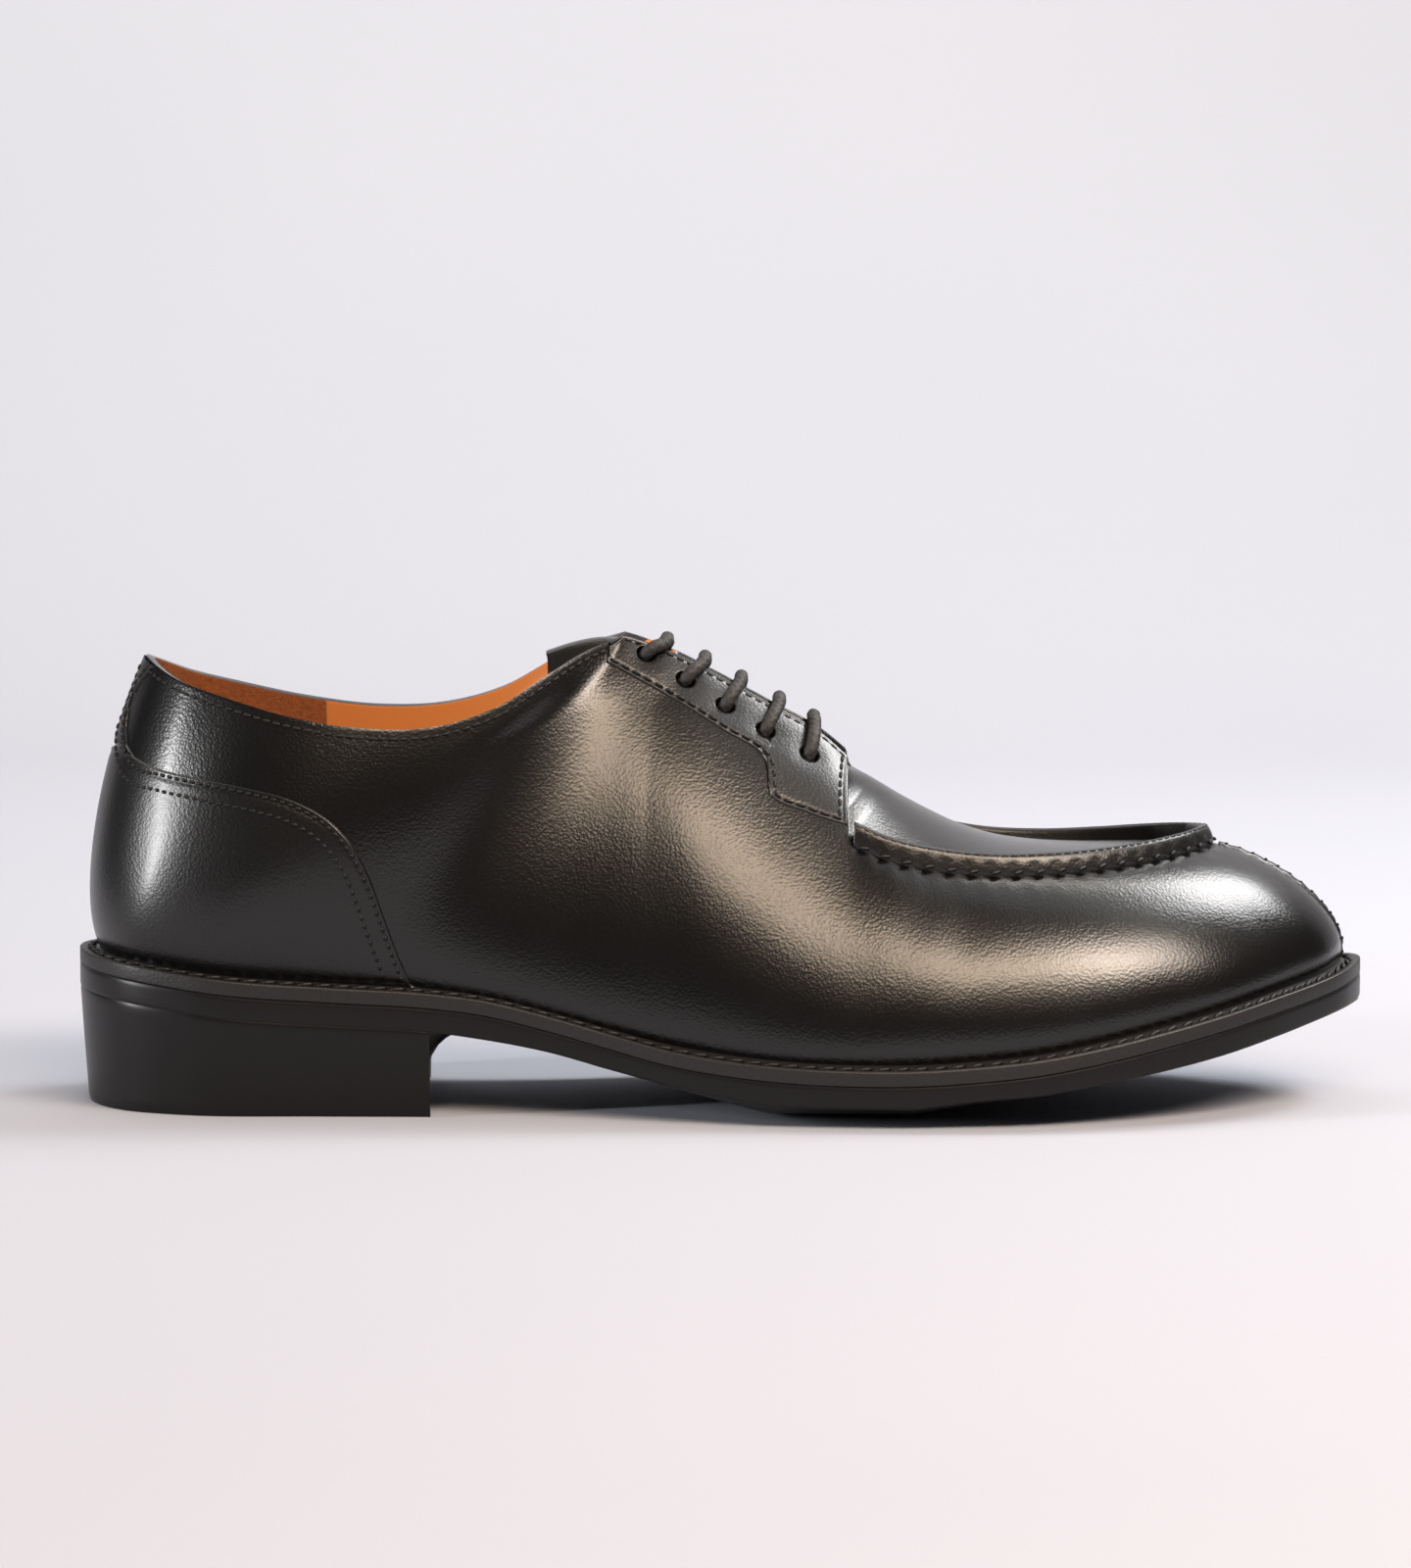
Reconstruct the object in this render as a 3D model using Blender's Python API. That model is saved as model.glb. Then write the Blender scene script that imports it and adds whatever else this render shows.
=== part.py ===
"""Apron toe derby, a right shoe, built as separate closed solids.

Sizes are millimetres on the last: x runs from the back of the heel to the toe,
y is negative on the outer (little toe) side, and z is the height over the floor.
A place on the upper is (s, v). s goes round the foot: 0 is the back of the heel,
1 and -1 are the tip of the toe, above 0 is the outer side and below 0 the inner.
v goes up the upper: 0 is the welt and 1 is the top edge or the apron's seam.
"""
import bmesh
import bpy
import numpy as np

MM = 0.001
GAP = 0.3
FEATHER_INSET = 5.5
WALL = 2.0
CORNER_SPEED = 0.15
CORNER_SPAN = 0.3
OVERLAY_THICKNESS = 0.9
WELT_THICKNESS = 3.7
WELT_INNER_INSET = 8.7
WELT_RISE = 1.0
INSOLE_RISE = 1.5
TONGUE_THICKNESS = 1.5
TONGUE_SLOT = 1.6
TONGUE_REACH = 0.22
THROAT_SHARE = 0.3
EYELET_RADIUS = 2.2
LACE_RADIUS = 1.45
HEEL_BREAST = 85.0
FLAT_SHARE = 0.34
TOLERANCE = 1e-9

# Sole and welt seen from above: x, y of the outer edge, y of the inner edge.
OUTLINE = (
    (0.0, 0.0, 0.0),
    (3.0, -13.5, 13.5),
    (11.0, -24.5, 24.5),
    (28.0, -33.0, 32.5),
    (60.0, -35.0, 34.5),
    (90.0, -36.0, 32.5),
    (120.0, -40.0, 32.0),
    (150.0, -47.5, 38.0),
    (180.0, -53.5, 46.5),
    (205.0, -55.0, 50.5),
    (230.0, -53.0, 50.0),
    (255.0, -46.0, 45.0),
    (275.0, -36.0, 37.5),
    (291.0, -22.5, 29.0),
    (302.4, -8.2, 20.0),
    (306.4, 7.0, 7.0),
)

# Side view of the sole: x, top of the welt's edge, underside at the middle, lift of its edges.
SOLE = (
    (0.0, 36.8, 27.7, 0.0),
    (20.0, 34.3, 25.2, 0.0),
    (40.0, 32.0, 22.9, 0.0),
    (62.0, 30.6, 21.5, 0.0),
    (85.0, 29.3, 20.2, 0.0),
    (97.0, 27.9, 18.3, 0.4),
    (113.0, 24.3, 14.9, 1.0),
    (127.0, 20.6, 10.6, 1.7),
    (140.0, 17.4, 6.6, 2.7),
    (154.0, 15.3, 2.6, 4.0),
    (167.0, 14.2, -0.5, 4.9),
    (183.0, 13.7, -1.2, 5.0),
    (199.0, 13.9, 0.3, 4.9),
    (213.0, 14.8, 2.5, 4.4),
    (226.0, 16.1, 4.5, 3.4),
    (240.0, 18.4, 7.0, 3.0),
    (254.0, 21.2, 9.7, 2.6),
    (269.0, 24.4, 13.0, 2.2),
    (283.0, 27.6, 16.6, 1.9),
    (297.0, 30.6, 20.2, 1.6),
    (307.0, 33.4, 22.8, 1.4),
)

# Edges of the upper, from the back of the heel forward: x, y of the outer side, y of the inner
# side, height of the outer side, height of the inner side.
COLLAR = (
    (16.6, 0.0, 0.0, 106.0, 106.0),
    (19.2, -8.0, 8.0, 104.2, 104.4),
    (26.0, -16.5, 16.0, 100.8, 101.2),
    (37.0, -23.0, 22.0, 97.4, 98.0),
    (53.0, -28.5, 27.0, 93.2, 94.2),
    (70.0, -30.5, 29.0, 90.8, 92.0),
    (86.0, -29.5, 28.5, 91.1, 92.6),
    (100.0, -26.0, 25.5, 95.2, 96.5),
    (112.0, -20.5, 20.5, 102.2, 103.2),
    (122.0, -13.0, 13.0, 107.9, 108.3),
    (130.0, -6.2, 6.2, 111.0, 111.0),
)
FACING = (
    (130.0, -6.2, 6.2, 111.0, 111.0),
    (136.4, -5.6, 5.6, 109.0, 109.0),
    (143.4, -5.3, 5.3, 106.0, 106.0),
    (153.6, -5.2, 5.2, 100.6, 100.6),
    (165.5, -5.4, 5.6, 94.0, 94.0),
    (177.0, -6.0, 6.6, 87.3, 87.5),
    (183.2, -7.6, 8.6, 81.8, 82.2),
)
SEAM = (
    (192.0, -28.6, 36.4, 61.4, 63.0),
    (203.0, -28.0, 36.8, 58.8, 60.0),
    (217.0, -26.4, 36.2, 57.2, 57.4),
    (231.0, -23.0, 34.4, 57.1, 56.9),
    (245.0, -16.8, 30.4, 57.8, 57.8),
    (256.0, -9.4, 24.4, 58.9, 59.1),
    (265.0, 0.0, 15.6, 60.1, 60.2),
    (268.6, 7.6, 7.6, 60.6, 60.6),
)

# Ribs that end at the throat's corner and at the quarter's front edge, as x on the outline. The
# apron's seam starts on the second one, at this share of its way up.
THROAT_RIB_X = 124.0
FRONT_RIB_X = 186.0
SEAM_START = 0.71

# How the ribs leave the welt and reach the top edge. at: x on the outline; out and up: from the
# welt to the first handle; top_out and top_up: from the top edge to the second handle. The rows
# of a quarter end at the front rib, and those of the side panel under the apron start there.
QUARTER_OUTER = (
    (0.0, 6.5, 13.0, 10.0, -21.0),
    (28.0, 8.5, 15.0, 6.5, -21.0),
    (60.0, 8.0, 16.0, 5.0, -21.0),
    (90.0, 5.0, 18.0, 7.0, -26.0),
    (112.0, 3.2, 22.0, 13.0, -28.0),
    (126.0, 3.0, 24.0, 19.0, -20.0),
    (140.0, 3.2, 21.0, 22.0, -17.0),
    (163.0, 3.8, 17.0, 23.0, -14.5),
    (186.0, 4.5, 14.0, 24.0, -12.0),
)
PANEL_OUTER = (
    (186.0, 3.2, 9.9, 14.2, -16.8),
    (200.0, 4.2, 11.5, 12.5, -11.0),
    (215.0, 4.5, 12.0, 12.0, -8.5),
    (245.0, 4.2, 11.0, 14.0, -6.0),
    (275.0, 4.2, 9.5, 16.0, -4.5),
    (305.0, 5.3, 9.2, 18.2, -3.0),
)
QUARTER_INNER = (
    (0.0, 6.5, 13.0, 10.0, -21.0),
    (28.0, 8.5, 15.0, 6.5, -21.0),
    (60.0, 7.5, 16.0, 4.5, -21.0),
    (90.0, 7.5, 19.0, 6.0, -26.0),
    (112.0, 8.2, 22.0, 12.0, -28.0),
    (126.0, 8.0, 24.0, 18.0, -20.0),
    (140.0, 7.4, 22.0, 21.0, -17.0),
    (163.0, 6.4, 18.5, 23.5, -14.0),
    (186.0, 5.5, 16.0, 26.0, -11.0),
)
PANEL_INNER = (
    (186.0, 3.9, 11.3, 14.0, -15.5),
    (200.0, 4.6, 12.8, 11.5, -11.0),
    (215.0, 4.5, 13.0, 10.5, -9.0),
    (245.0, 4.2, 11.5, 12.5, -7.0),
    (275.0, 4.2, 9.5, 15.5, -4.8),
    (305.0, 5.3, 9.2, 18.2, -3.0),
)

# Highest line along the plug: x, y, z.
RIDGE = (
    (183.9, 1.0, 79.2),
    (189.0, 2.5, 76.4),
    (195.0, 4.0, 72.6),
    (203.0, 5.0, 68.2),
    (210.0, 5.2, 64.9),
    (218.0, 5.6, 62.3),
    (228.0, 6.0, 60.8),
    (240.0, 6.5, 60.2),
    (254.0, 7.2, 60.2),
    (268.6, 7.6, 60.6),
)
RIDGE_AT_SEAM_START = 191.0
STEP_HEIGHT = 2.2
STEP_FORWARD = 1.0

# Eyelets from the top pair down: x on the outer side, x on the inner side, z of both.
EYELETS = (
    (135.2, 138.4, 106.6),
    (144.5, 147.5, 100.6),
    (153.9, 156.4, 94.6),
    (163.4, 165.6, 88.8),
    (173.8, 174.4, 83.2),
)

# Lower edge of the eyestay and edge of the heel counter in side view: x, z.
EYESTAY_EDGE = (
    (119.0, 108.0),
    (131.0, 101.8),
    (142.4, 95.6),
    (153.9, 88.5),
    (163.2, 82.2),
    (164.6, 74.2),
    (173.2, 70.2),
    (186.0, 66.2),
)
COUNTER_EDGE = (
    (12.0, 84.5),
    (16.0, 82.6),
    (21.0, 80.9),
    (30.7, 79.2),
    (42.3, 77.3),
    (53.7, 74.6),
    (60.6, 71.1),
    (66.3, 65.7),
    (70.9, 57.8),
    (74.2, 48.5),
    (77.4, 39.1),
    (80.8, 30.0),
    (83.0, 20.0),
)
STRIP_HALF_WIDTH = 11.5

# Free top of the tongue behind the throat: move back, move up, share of the width.
TONGUE_TOP = (
    (-5.5, -0.4, 0.86),
    (-11.5, -2.0, 0.70),
    (-17.0, -4.6, 0.52),
)

# Side of the heel block: share of its height, how far in from the sole's edge.
HEEL_SIDE = (
    (0.0, 3.0),
    (0.05, 2.2),
    (0.5, 1.6),
    (0.96, 0.5),
    (1.0, 0.8),
)


def unit(vectors):
    return vectors / np.linalg.norm(vectors, axis=-1, keepdims=True)


def smooth(keys, values, at):
    """Read a smooth curve through rows of values, one row for each key."""
    keys = np.asarray(keys, float)
    values = np.asarray(values, float).reshape(len(keys), -1)
    step = np.diff(keys)[:, None]
    slope = np.diff(values, axis=0) / step
    tangent = np.vstack((slope[:1], slope[-1:] if len(keys) == 2 else slope[:-1], slope[-1:]))
    tangent = tangent[:len(keys)]
    if len(keys) > 2:
        tangent[1:-1] = (slope[:-1] * step[1:] + slope[1:] * step[:-1]) / (step[:-1] + step[1:])
        tangent[-1] = slope[-1]
    at = np.asarray(at, float)
    row = np.clip(np.searchsorted(keys, at, side="right") - 1, 0, len(step) - 1)
    width = step[row]
    t = (at - keys[row])[..., None] / width
    start = (1 + 2 * t) * (1 - t) ** 2 * values[row] + t * (1 - t) ** 2 * width * tangent[row]
    end = t * t * (3 - 2 * t) * values[row + 1] + t * t * (t - 1) * width * tangent[row + 1]
    return start + end


def lengths(points):
    """Distance along a row of points, from 0 to 1."""
    steps = np.linalg.norm(np.diff(points, axis=0), axis=1)
    along = np.concatenate(([0.0], np.cumsum(steps)))
    return along / along[-1]


def column(table, number):
    return np.array([row[number] for row in table])


def both_sides(table, heights=True):
    """Points and keys of a mirrored table: keys below 0 are the inner side, 0 is its first row."""
    z_outer = column(table, 3) if heights else np.zeros(len(table))
    z_inner = column(table, 4) if heights else np.zeros(len(table))
    outer = np.column_stack((column(table, 0), column(table, 1), z_outer))
    inner = np.column_stack((column(table, 0), column(table, 2), z_inner))
    keys = np.concatenate((-lengths(inner)[::-1], lengths(outer)[1:]))
    return keys, np.vstack((inner[::-1], outer[1:]))


OUTLINE_KEYS, OUTLINE_POINTS = both_sides(OUTLINE, heights=False)


def wrap(s):
    """Bring s between -1 and 1."""
    return (np.asarray(s, float) + 1.0) % 2.0 - 1.0


def outline_xy(s):
    """Edge of the sole at s, as x and y."""
    keys = np.concatenate((OUTLINE_KEYS[-4:-1] - 2.0, OUTLINE_KEYS, OUTLINE_KEYS[1:4] + 2.0))
    points = np.vstack((OUTLINE_POINTS[-4:-1], OUTLINE_POINTS, OUTLINE_POINTS[1:4]))
    return smooth(keys, points, wrap(s))[..., :2]


def outward(s):
    """Horizontal direction out of the outline at s."""
    small = 0.004
    along = outline_xy(s + small) - outline_xy(s - small)
    return unit(np.stack((along[..., 1], -along[..., 0], np.zeros_like(along[..., 0])), axis=-1))


def inset_xy(s, inset):
    inset = np.asarray(inset, float)[..., None]
    return outline_xy(s) - outward(s)[..., :2] * inset


def welt_top(x):
    return smooth(column(SOLE, 0), column(SOLE, 1), x)[..., 0]


def sole_top(x):
    return welt_top(x) - WELT_THICKNESS - GAP


def sole_bottom(x, across):
    """Underside of the sole; across is 0 at the middle and 1 at the edge."""
    middle = np.maximum(smooth(column(SOLE, 0), column(SOLE, 2), x)[..., 0], 0.0)
    lift = smooth(column(SOLE, 0), column(SOLE, 3), x)[..., 0]
    rounding = np.clip((np.abs(across) - FLAT_SHARE) / (1.0 - FLAT_SHARE), 0.0, 1.0) ** 2
    return middle + lift * rounding


OUTLINE_LENGTH = np.linalg.norm(np.diff(outline_xy(np.linspace(0.0, 1.0, 200)), axis=0), axis=1).sum()


def s_at_x(x):
    """s on the outer side where the outline has this x."""
    samples = np.linspace(0.0, 1.0, 400)
    return np.interp(x, outline_xy(samples)[:, 0], samples)


S_THROAT = s_at_x(THROAT_RIB_X)
S_FRONT = s_at_x(FRONT_RIB_X)
QUARTER_RIBS = np.concatenate((np.linspace(0.0, S_THROAT, 17)[:-1], np.linspace(S_THROAT, S_FRONT, 11)))


def eased(share, at_start, at_end):
    """A share from 0 to 1 that runs slowly beside the corners at its start and its end."""
    keys = np.linspace(0.0, 1.0, 201)
    speed = np.ones_like(keys)
    if at_start:
        speed = np.minimum(speed, CORNER_SPEED + (1 - CORNER_SPEED) * keys / CORNER_SPAN)
    if at_end:
        speed = np.minimum(speed, CORNER_SPEED + (1 - CORNER_SPEED) * (1 - keys) / CORNER_SPAN)
    run = np.concatenate(([0.0], np.cumsum((speed[1:] + speed[:-1]) / 2)))
    return np.interp(np.clip(share, 0.0, 1.0), keys, run / run[-1])


def quarter_edge(s):
    """Upper edge of the quarters: the collar, then the facing up to its front corner."""
    size = np.abs(s)
    collar_keys, collar_points = both_sides(COLLAR)
    collar = smooth(collar_keys, collar_points, np.sign(s) * eased(size / S_THROAT, False, True))
    on_facing = eased((size - S_THROAT) / (S_FRONT - S_THROAT), True, False)
    outer = np.array([(row[0], row[1], row[3]) for row in FACING])
    inner = np.array([(row[0], row[2], row[4]) for row in FACING])
    facing = np.where((s < 0)[..., None], smooth(lengths(inner), inner, on_facing),
                      smooth(lengths(outer), outer, on_facing))
    return np.where(size[..., None] <= S_THROAT, collar, facing)


def handles(s, outer, inner):
    """The four handle lengths of a rib, from the table of its side."""
    size = np.abs(s)
    on_outer = smooth(s_at_x(column(outer, 0)), np.array(outer)[:, 1:], size)
    on_inner = smooth(s_at_x(column(inner, 0)), np.array(inner)[:, 1:], size)
    return np.where((s < 0)[..., None], on_inner, on_outer)


def feather(s):
    """Where a rib starts, just over the welt."""
    xy = inset_xy(s, FEATHER_INSET)
    z = welt_top(xy[..., 0]) + WELT_RISE + GAP
    return np.concatenate((xy, z[..., None]), axis=-1)


def bezier(first, second, third, fourth, t):
    return ((1 - t) ** 3 * first + 3 * t * (1 - t) ** 2 * second
            + 3 * t * t * (1 - t) * third + t ** 3 * fourth)


def rib(s, v, end, reach):
    """Point on a rib from the welt to an end point, with its four handle lengths."""
    start = feather(s)
    out = outward(s)
    up = np.array((0.0, 0.0, 1.0))
    lower = start + out * reach[..., 0:1] + up * reach[..., 1:2]
    upper = end + out * reach[..., 2:3] + up * reach[..., 3:4]
    return bezier(start, lower, upper, end, v[..., None])


def quarter(s, v):
    """Outer face of the quarters, from the welt to the collar and facings."""
    return rib(s, v, quarter_edge(s), handles(s, QUARTER_OUTER, QUARTER_INNER))


SEAM_CORNERS = quarter(np.array((S_FRONT, -S_FRONT)), np.array((SEAM_START, SEAM_START)))


def seam_line(s):
    """Seam of the apron, from the front rib of one side round the tip to the other."""
    outer, inner = SEAM_CORNERS
    start = (outer[0], outer[1], inner[1], outer[2], inner[2])
    keys, points = both_sides(SEAM[::-1] + (start,))
    share = (1.0 - np.abs(s)) / (1.0 - S_FRONT)
    return smooth(keys, points, np.sign(s) * share)


def skin(s, v):
    """Outer face of the upper at s and v."""
    s, v = np.broadcast_arrays(wrap(s), np.asarray(v, float))
    rear = np.sign(s + TOLERANCE) * np.minimum(np.abs(s), S_FRONT)
    ahead = np.sign(s + TOLERANCE) * np.maximum(np.abs(s), S_FRONT)
    panel = rib(ahead, v, seam_line(ahead), handles(ahead, PANEL_OUTER, PANEL_INNER))
    return np.where((np.abs(s) < S_FRONT + TOLERANCE)[..., None], quarter(rear, v), panel)


def skin_normal(s, v):
    """Outward direction of the skin."""
    s, v = np.broadcast_arrays(np.asarray(s, float), np.asarray(v, float))
    small = 0.004
    v = np.minimum(v, 0.96)
    ahead = np.where(np.abs(np.abs(s) - S_FRONT) < small, 0.0, small)
    around = skin(s + ahead, v) - skin(s - ahead, v)
    aside = np.sign(s) * small
    around = np.where(ahead[..., None] > 0, around, (skin(s, v) - skin(s - aside, v)) * np.sign(s)[..., None])
    rise = skin(s, v + small) - skin(s, np.maximum(v - small, 0.0))
    return unit(np.cross(around, rise))


def raised(s, v, height):
    return skin(s, v) + skin_normal(s, v) * np.asarray(height, float)[..., None]


def plug_edge(w, side):
    """Edge of the plug. w from -1 to 0 runs down under the front edge of a quarter, and from
    0 to 1 along the apron's seam to its tip; side is 1 for the outer side, -1 for the inner."""
    w = np.asarray(w, float)
    on_seam = seam_line(side * (S_FRONT + np.maximum(w, 0.0) * (1.0 - S_FRONT)))
    under = np.maximum(-w, 0.0)
    v = SEAM_START + under * (1.0 - SEAM_START)
    place = np.full(w.shape, side * S_FRONT)
    drop = np.minimum(under * 2.5, 1.0)[..., None]
    stepped = quarter(place, v) - skin_normal(place, v) * STEP_HEIGHT * drop
    stepped[..., 0] += STEP_FORWARD * drop[..., 0]
    return np.where((w < 0)[..., None], stepped, on_seam)


def plug(w, across):
    """Outer face of the plug; across is 0 on its outer edge and 1 on its inner edge."""
    w, across = np.broadcast_arrays(np.asarray(w, float), np.asarray(across, float))
    first = plug_edge(w, 1)
    last = plug_edge(w, -1)
    start_x = SEAM_CORNERS[:, 0].mean()
    middle_x = (first[..., 0] + last[..., 0]) / 2
    reach = (RIDGE[-1][0] - RIDGE_AT_SEAM_START) / (RIDGE[-1][0] - start_x)
    forward = RIDGE_AT_SEAM_START + (middle_x - start_x) * reach
    backward = RIDGE_AT_SEAM_START + (RIDGE_AT_SEAM_START - RIDGE[0][0]) * w
    ridge = smooth(column(RIDGE, 0), np.array(RIDGE), np.where(w < 0, backward, forward))
    middle = (8.0 * ridge - first - last) / 6.0
    spread = (first - last) * 0.19
    across = across[..., None]
    return bezier(first, middle + spread, middle - spread, last, across)


def instep(s, across):
    """The skin's line over the instep at a facing rib: -1 and 1 lie down the sides, 0 is the top."""
    s, across = np.broadcast_arrays(np.asarray(s, float), np.asarray(across, float))
    outer = skin(s, 1.0)
    inner = skin(-s, 1.0)
    outer_rise = unit(outer - skin(s, 0.97))
    inner_rise = unit(inner - skin(-s, 0.97))
    share = np.clip((across + THROAT_SHARE) / (2 * THROAT_SHARE), 0.0, 1.0)[..., None]
    bridge = bezier(outer, outer + outer_rise * 3.0, inner + inner_rise * 3.0, inner, share)
    beside = np.clip((np.abs(across) - THROAT_SHARE) / (1 - THROAT_SHARE), 0.0, 1.0)
    v = 1.0 - beside * TONGUE_REACH
    side = np.where((across < 0)[..., None], skin(s, v), skin(-s, v))
    return np.where(np.abs(across)[..., None] > THROAT_SHARE, side, bridge)


class Solid:
    """Vertices and faces of one closed body."""

    def __init__(self):
        self.points = []
        self.faces = []

    def add(self, points):
        """Add a grid or row of points, and give their numbers in the same layout."""
        points = np.asarray(points, float)
        first = len(self.points)
        self.points.extend(points.reshape(-1, 3).tolist())
        return np.arange(first, len(self.points)).reshape(points.shape[:-1])

    def quads(self, numbers, closed=False):
        """Fill a grid of numbers; closed joins its last row to its first."""
        rows = len(numbers) if closed else len(numbers) - 1
        for i in range(rows):
            here = numbers[i]
            there = numbers[(i + 1) % len(numbers)]
            for j in range(len(here) - 1):
                corners = [here[j], there[j], there[j + 1], here[j + 1]]
                kept = [n for k, n in enumerate(corners) if n != corners[k - 1]]
                if len(kept) > 2:
                    self.faces.append(kept)

    def orient(self):
        """Turn every face of a sheet the way its first face looks."""
        owners = {}
        for number, face in enumerate(self.faces):
            for k, corner in enumerate(face):
                owners.setdefault(frozenset((face[k - 1], corner)), []).append(number)
        waiting = [0]
        done = {0}
        while waiting:
            number = waiting.pop()
            face = self.faces[number]
            ways = {(face[k - 1], corner) for k, corner in enumerate(face)}
            for k, corner in enumerate(face):
                for other in owners[frozenset((face[k - 1], corner))]:
                    if other in done:
                        continue
                    there = self.faces[other]
                    if any((there[j - 1], end) in ways for j, end in enumerate(there)):
                        self.faces[other] = there[::-1]
                    done.add(other)
                    waiting.append(other)


def thicken(sheet, lower, upper):
    """Closed body between two offsets of a sheet."""
    points = np.array(sheet.points)
    normals = np.zeros_like(points)
    edges = {}
    for face in sheet.faces:
        corners = points[face]
        turn = np.cross(corners[1] - corners[0], corners[2] - corners[0])
        if len(face) == 4:
            turn = np.cross(corners[2] - corners[0], corners[3] - corners[1])
        normals[face] += turn
        for k, number in enumerate(face):
            edges[(face[k - 1], number)] = True
    normals = unit(normals)
    body = Solid()
    count = len(points)
    body.add(points + normals * upper)
    body.add(points + normals * lower)
    body.faces = [list(face) for face in sheet.faces]
    body.faces += [[n + count for n in reversed(face)] for face in sheet.faces]
    body.faces += [[b, a, a + count, b + count] for a, b in edges if (b, a) not in edges]
    return body


def principled(name, colour, roughness, metallic=0.0):
    material = bpy.data.materials.new(name)
    material.use_nodes = True
    shader = material.node_tree.nodes["Principled BSDF"]
    shader.inputs["Base Color"].default_value = (*colour, 1.0)
    shader.inputs["Roughness"].default_value = roughness
    shader.inputs["Metallic"].default_value = metallic
    material.diffuse_color = (*colour, 1.0)
    return material


def make_object(name, solid, material):
    """Put a solid in the scene, in metres, with the middle of the sole at x = y = 0."""
    used = sorted({number for face in solid.faces for number in face})
    renumber = {number: place for place, number in enumerate(used)}
    points = (np.array(solid.points)[used] - ORIGIN) * MM
    faces = [[renumber[number] for number in face] for face in solid.faces]
    mesh = bpy.data.meshes.new(name)
    mesh.from_pydata(points.tolist(), [], faces)
    shape = bmesh.new()
    shape.from_mesh(mesh)
    bmesh.ops.recalc_face_normals(shape, faces=shape.faces)
    shape.to_mesh(mesh)
    shape.free()
    made = bpy.data.objects.new(name, mesh)
    bpy.context.scene.collection.objects.link(made)
    made.data.materials.append(material)
    made.parent = SHOE
    return made


def ring_s(count):
    """s of a closed ring that has points at the heel's middle and the toe's tip."""
    return np.linspace(-1.0, 1.0, 2 * count + 1)[:-1]


def plate(count, columns, rows, inset_of, height_of):
    """Closed plate inside the outline. Each of its side rows has an inset and a height; the
    first row is the top's edge and the last is the underside's."""
    body = Solid()
    s = ring_s(count)
    rings = []
    for row in range(rows):
        xy = inset_xy(s, np.full(len(s), inset_of(row)))
        z = height_of(row, xy[:, 0], np.ones(len(s)))
        rings.append(body.add(np.column_stack((xy, z))))
    side = np.array(rings).T
    body.quads(side[:, ::-1], closed=True)
    shares = np.linspace(-1.0, 1.0, columns + 1)
    for row, turned in ((0, False), (rows - 1, True)):
        ring = np.array(body.points)[rings[row]]
        lines = []
        for k in range(count + 1):
            first = (count - k) % (2 * count)
            last = (count + k) % (2 * count)
            mixed = (1 - shares[1:-1, None]) / 2 * ring[first] + (1 + shares[1:-1, None]) / 2 * ring[last]
            mixed[:, 2] = height_of(row, mixed[:, 0], shares[1:-1])
            if first == last:
                lines.append(np.full(columns + 1, rings[row][first]))
            else:
                inside = body.add(mixed)
                lines.append(np.concatenate(([rings[row][first]], inside, [rings[row][last]])))
        grid = np.array(lines)
        body.quads(grid[:, ::-1] if turned else grid)
    return body


def build_outsole():
    edge = (0.5, 0.0, 0.0, 0.7)

    def height(row, x, across):
        top = sole_top(x)
        bottom = sole_bottom(x, across)
        return (top, top - 0.6, bottom + 0.9, bottom)[row]

    return plate(28, 6, 4, lambda row: edge[row], height)


def build_insole():
    inset = WELT_INNER_INSET + 2.0 * GAP

    def height(row, x, across):
        return (welt_top(x) + INSOLE_RISE, sole_top(x) + GAP)[row]

    return plate(22, 4, 2, lambda row: inset, height)


def build_welt():
    """Strip all round, with a rounded outer edge and a top that rises to the upper."""
    body = Solid()
    s = ring_s(28)
    section = (
        (0.5, 0.0),
        (WELT_INNER_INSET, 0.0),
        (WELT_INNER_INSET, WELT_THICKNESS + WELT_RISE),
        (FEATHER_INSET - 1.0, WELT_THICKNESS + WELT_RISE),
        (0.7, WELT_THICKNESS),
        (0.0, WELT_THICKNESS - 0.7),
        (0.0, 0.6),
    )
    rings = []
    for inset, height in section:
        xy = inset_xy(s, np.full(len(s), inset))
        z = welt_top(xy[:, 0]) - WELT_THICKNESS + height
        rings.append(body.add(np.column_stack((xy, z))))
    grid = np.array(rings + rings[:1]).T
    body.quads(grid, closed=True)
    return body


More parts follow.
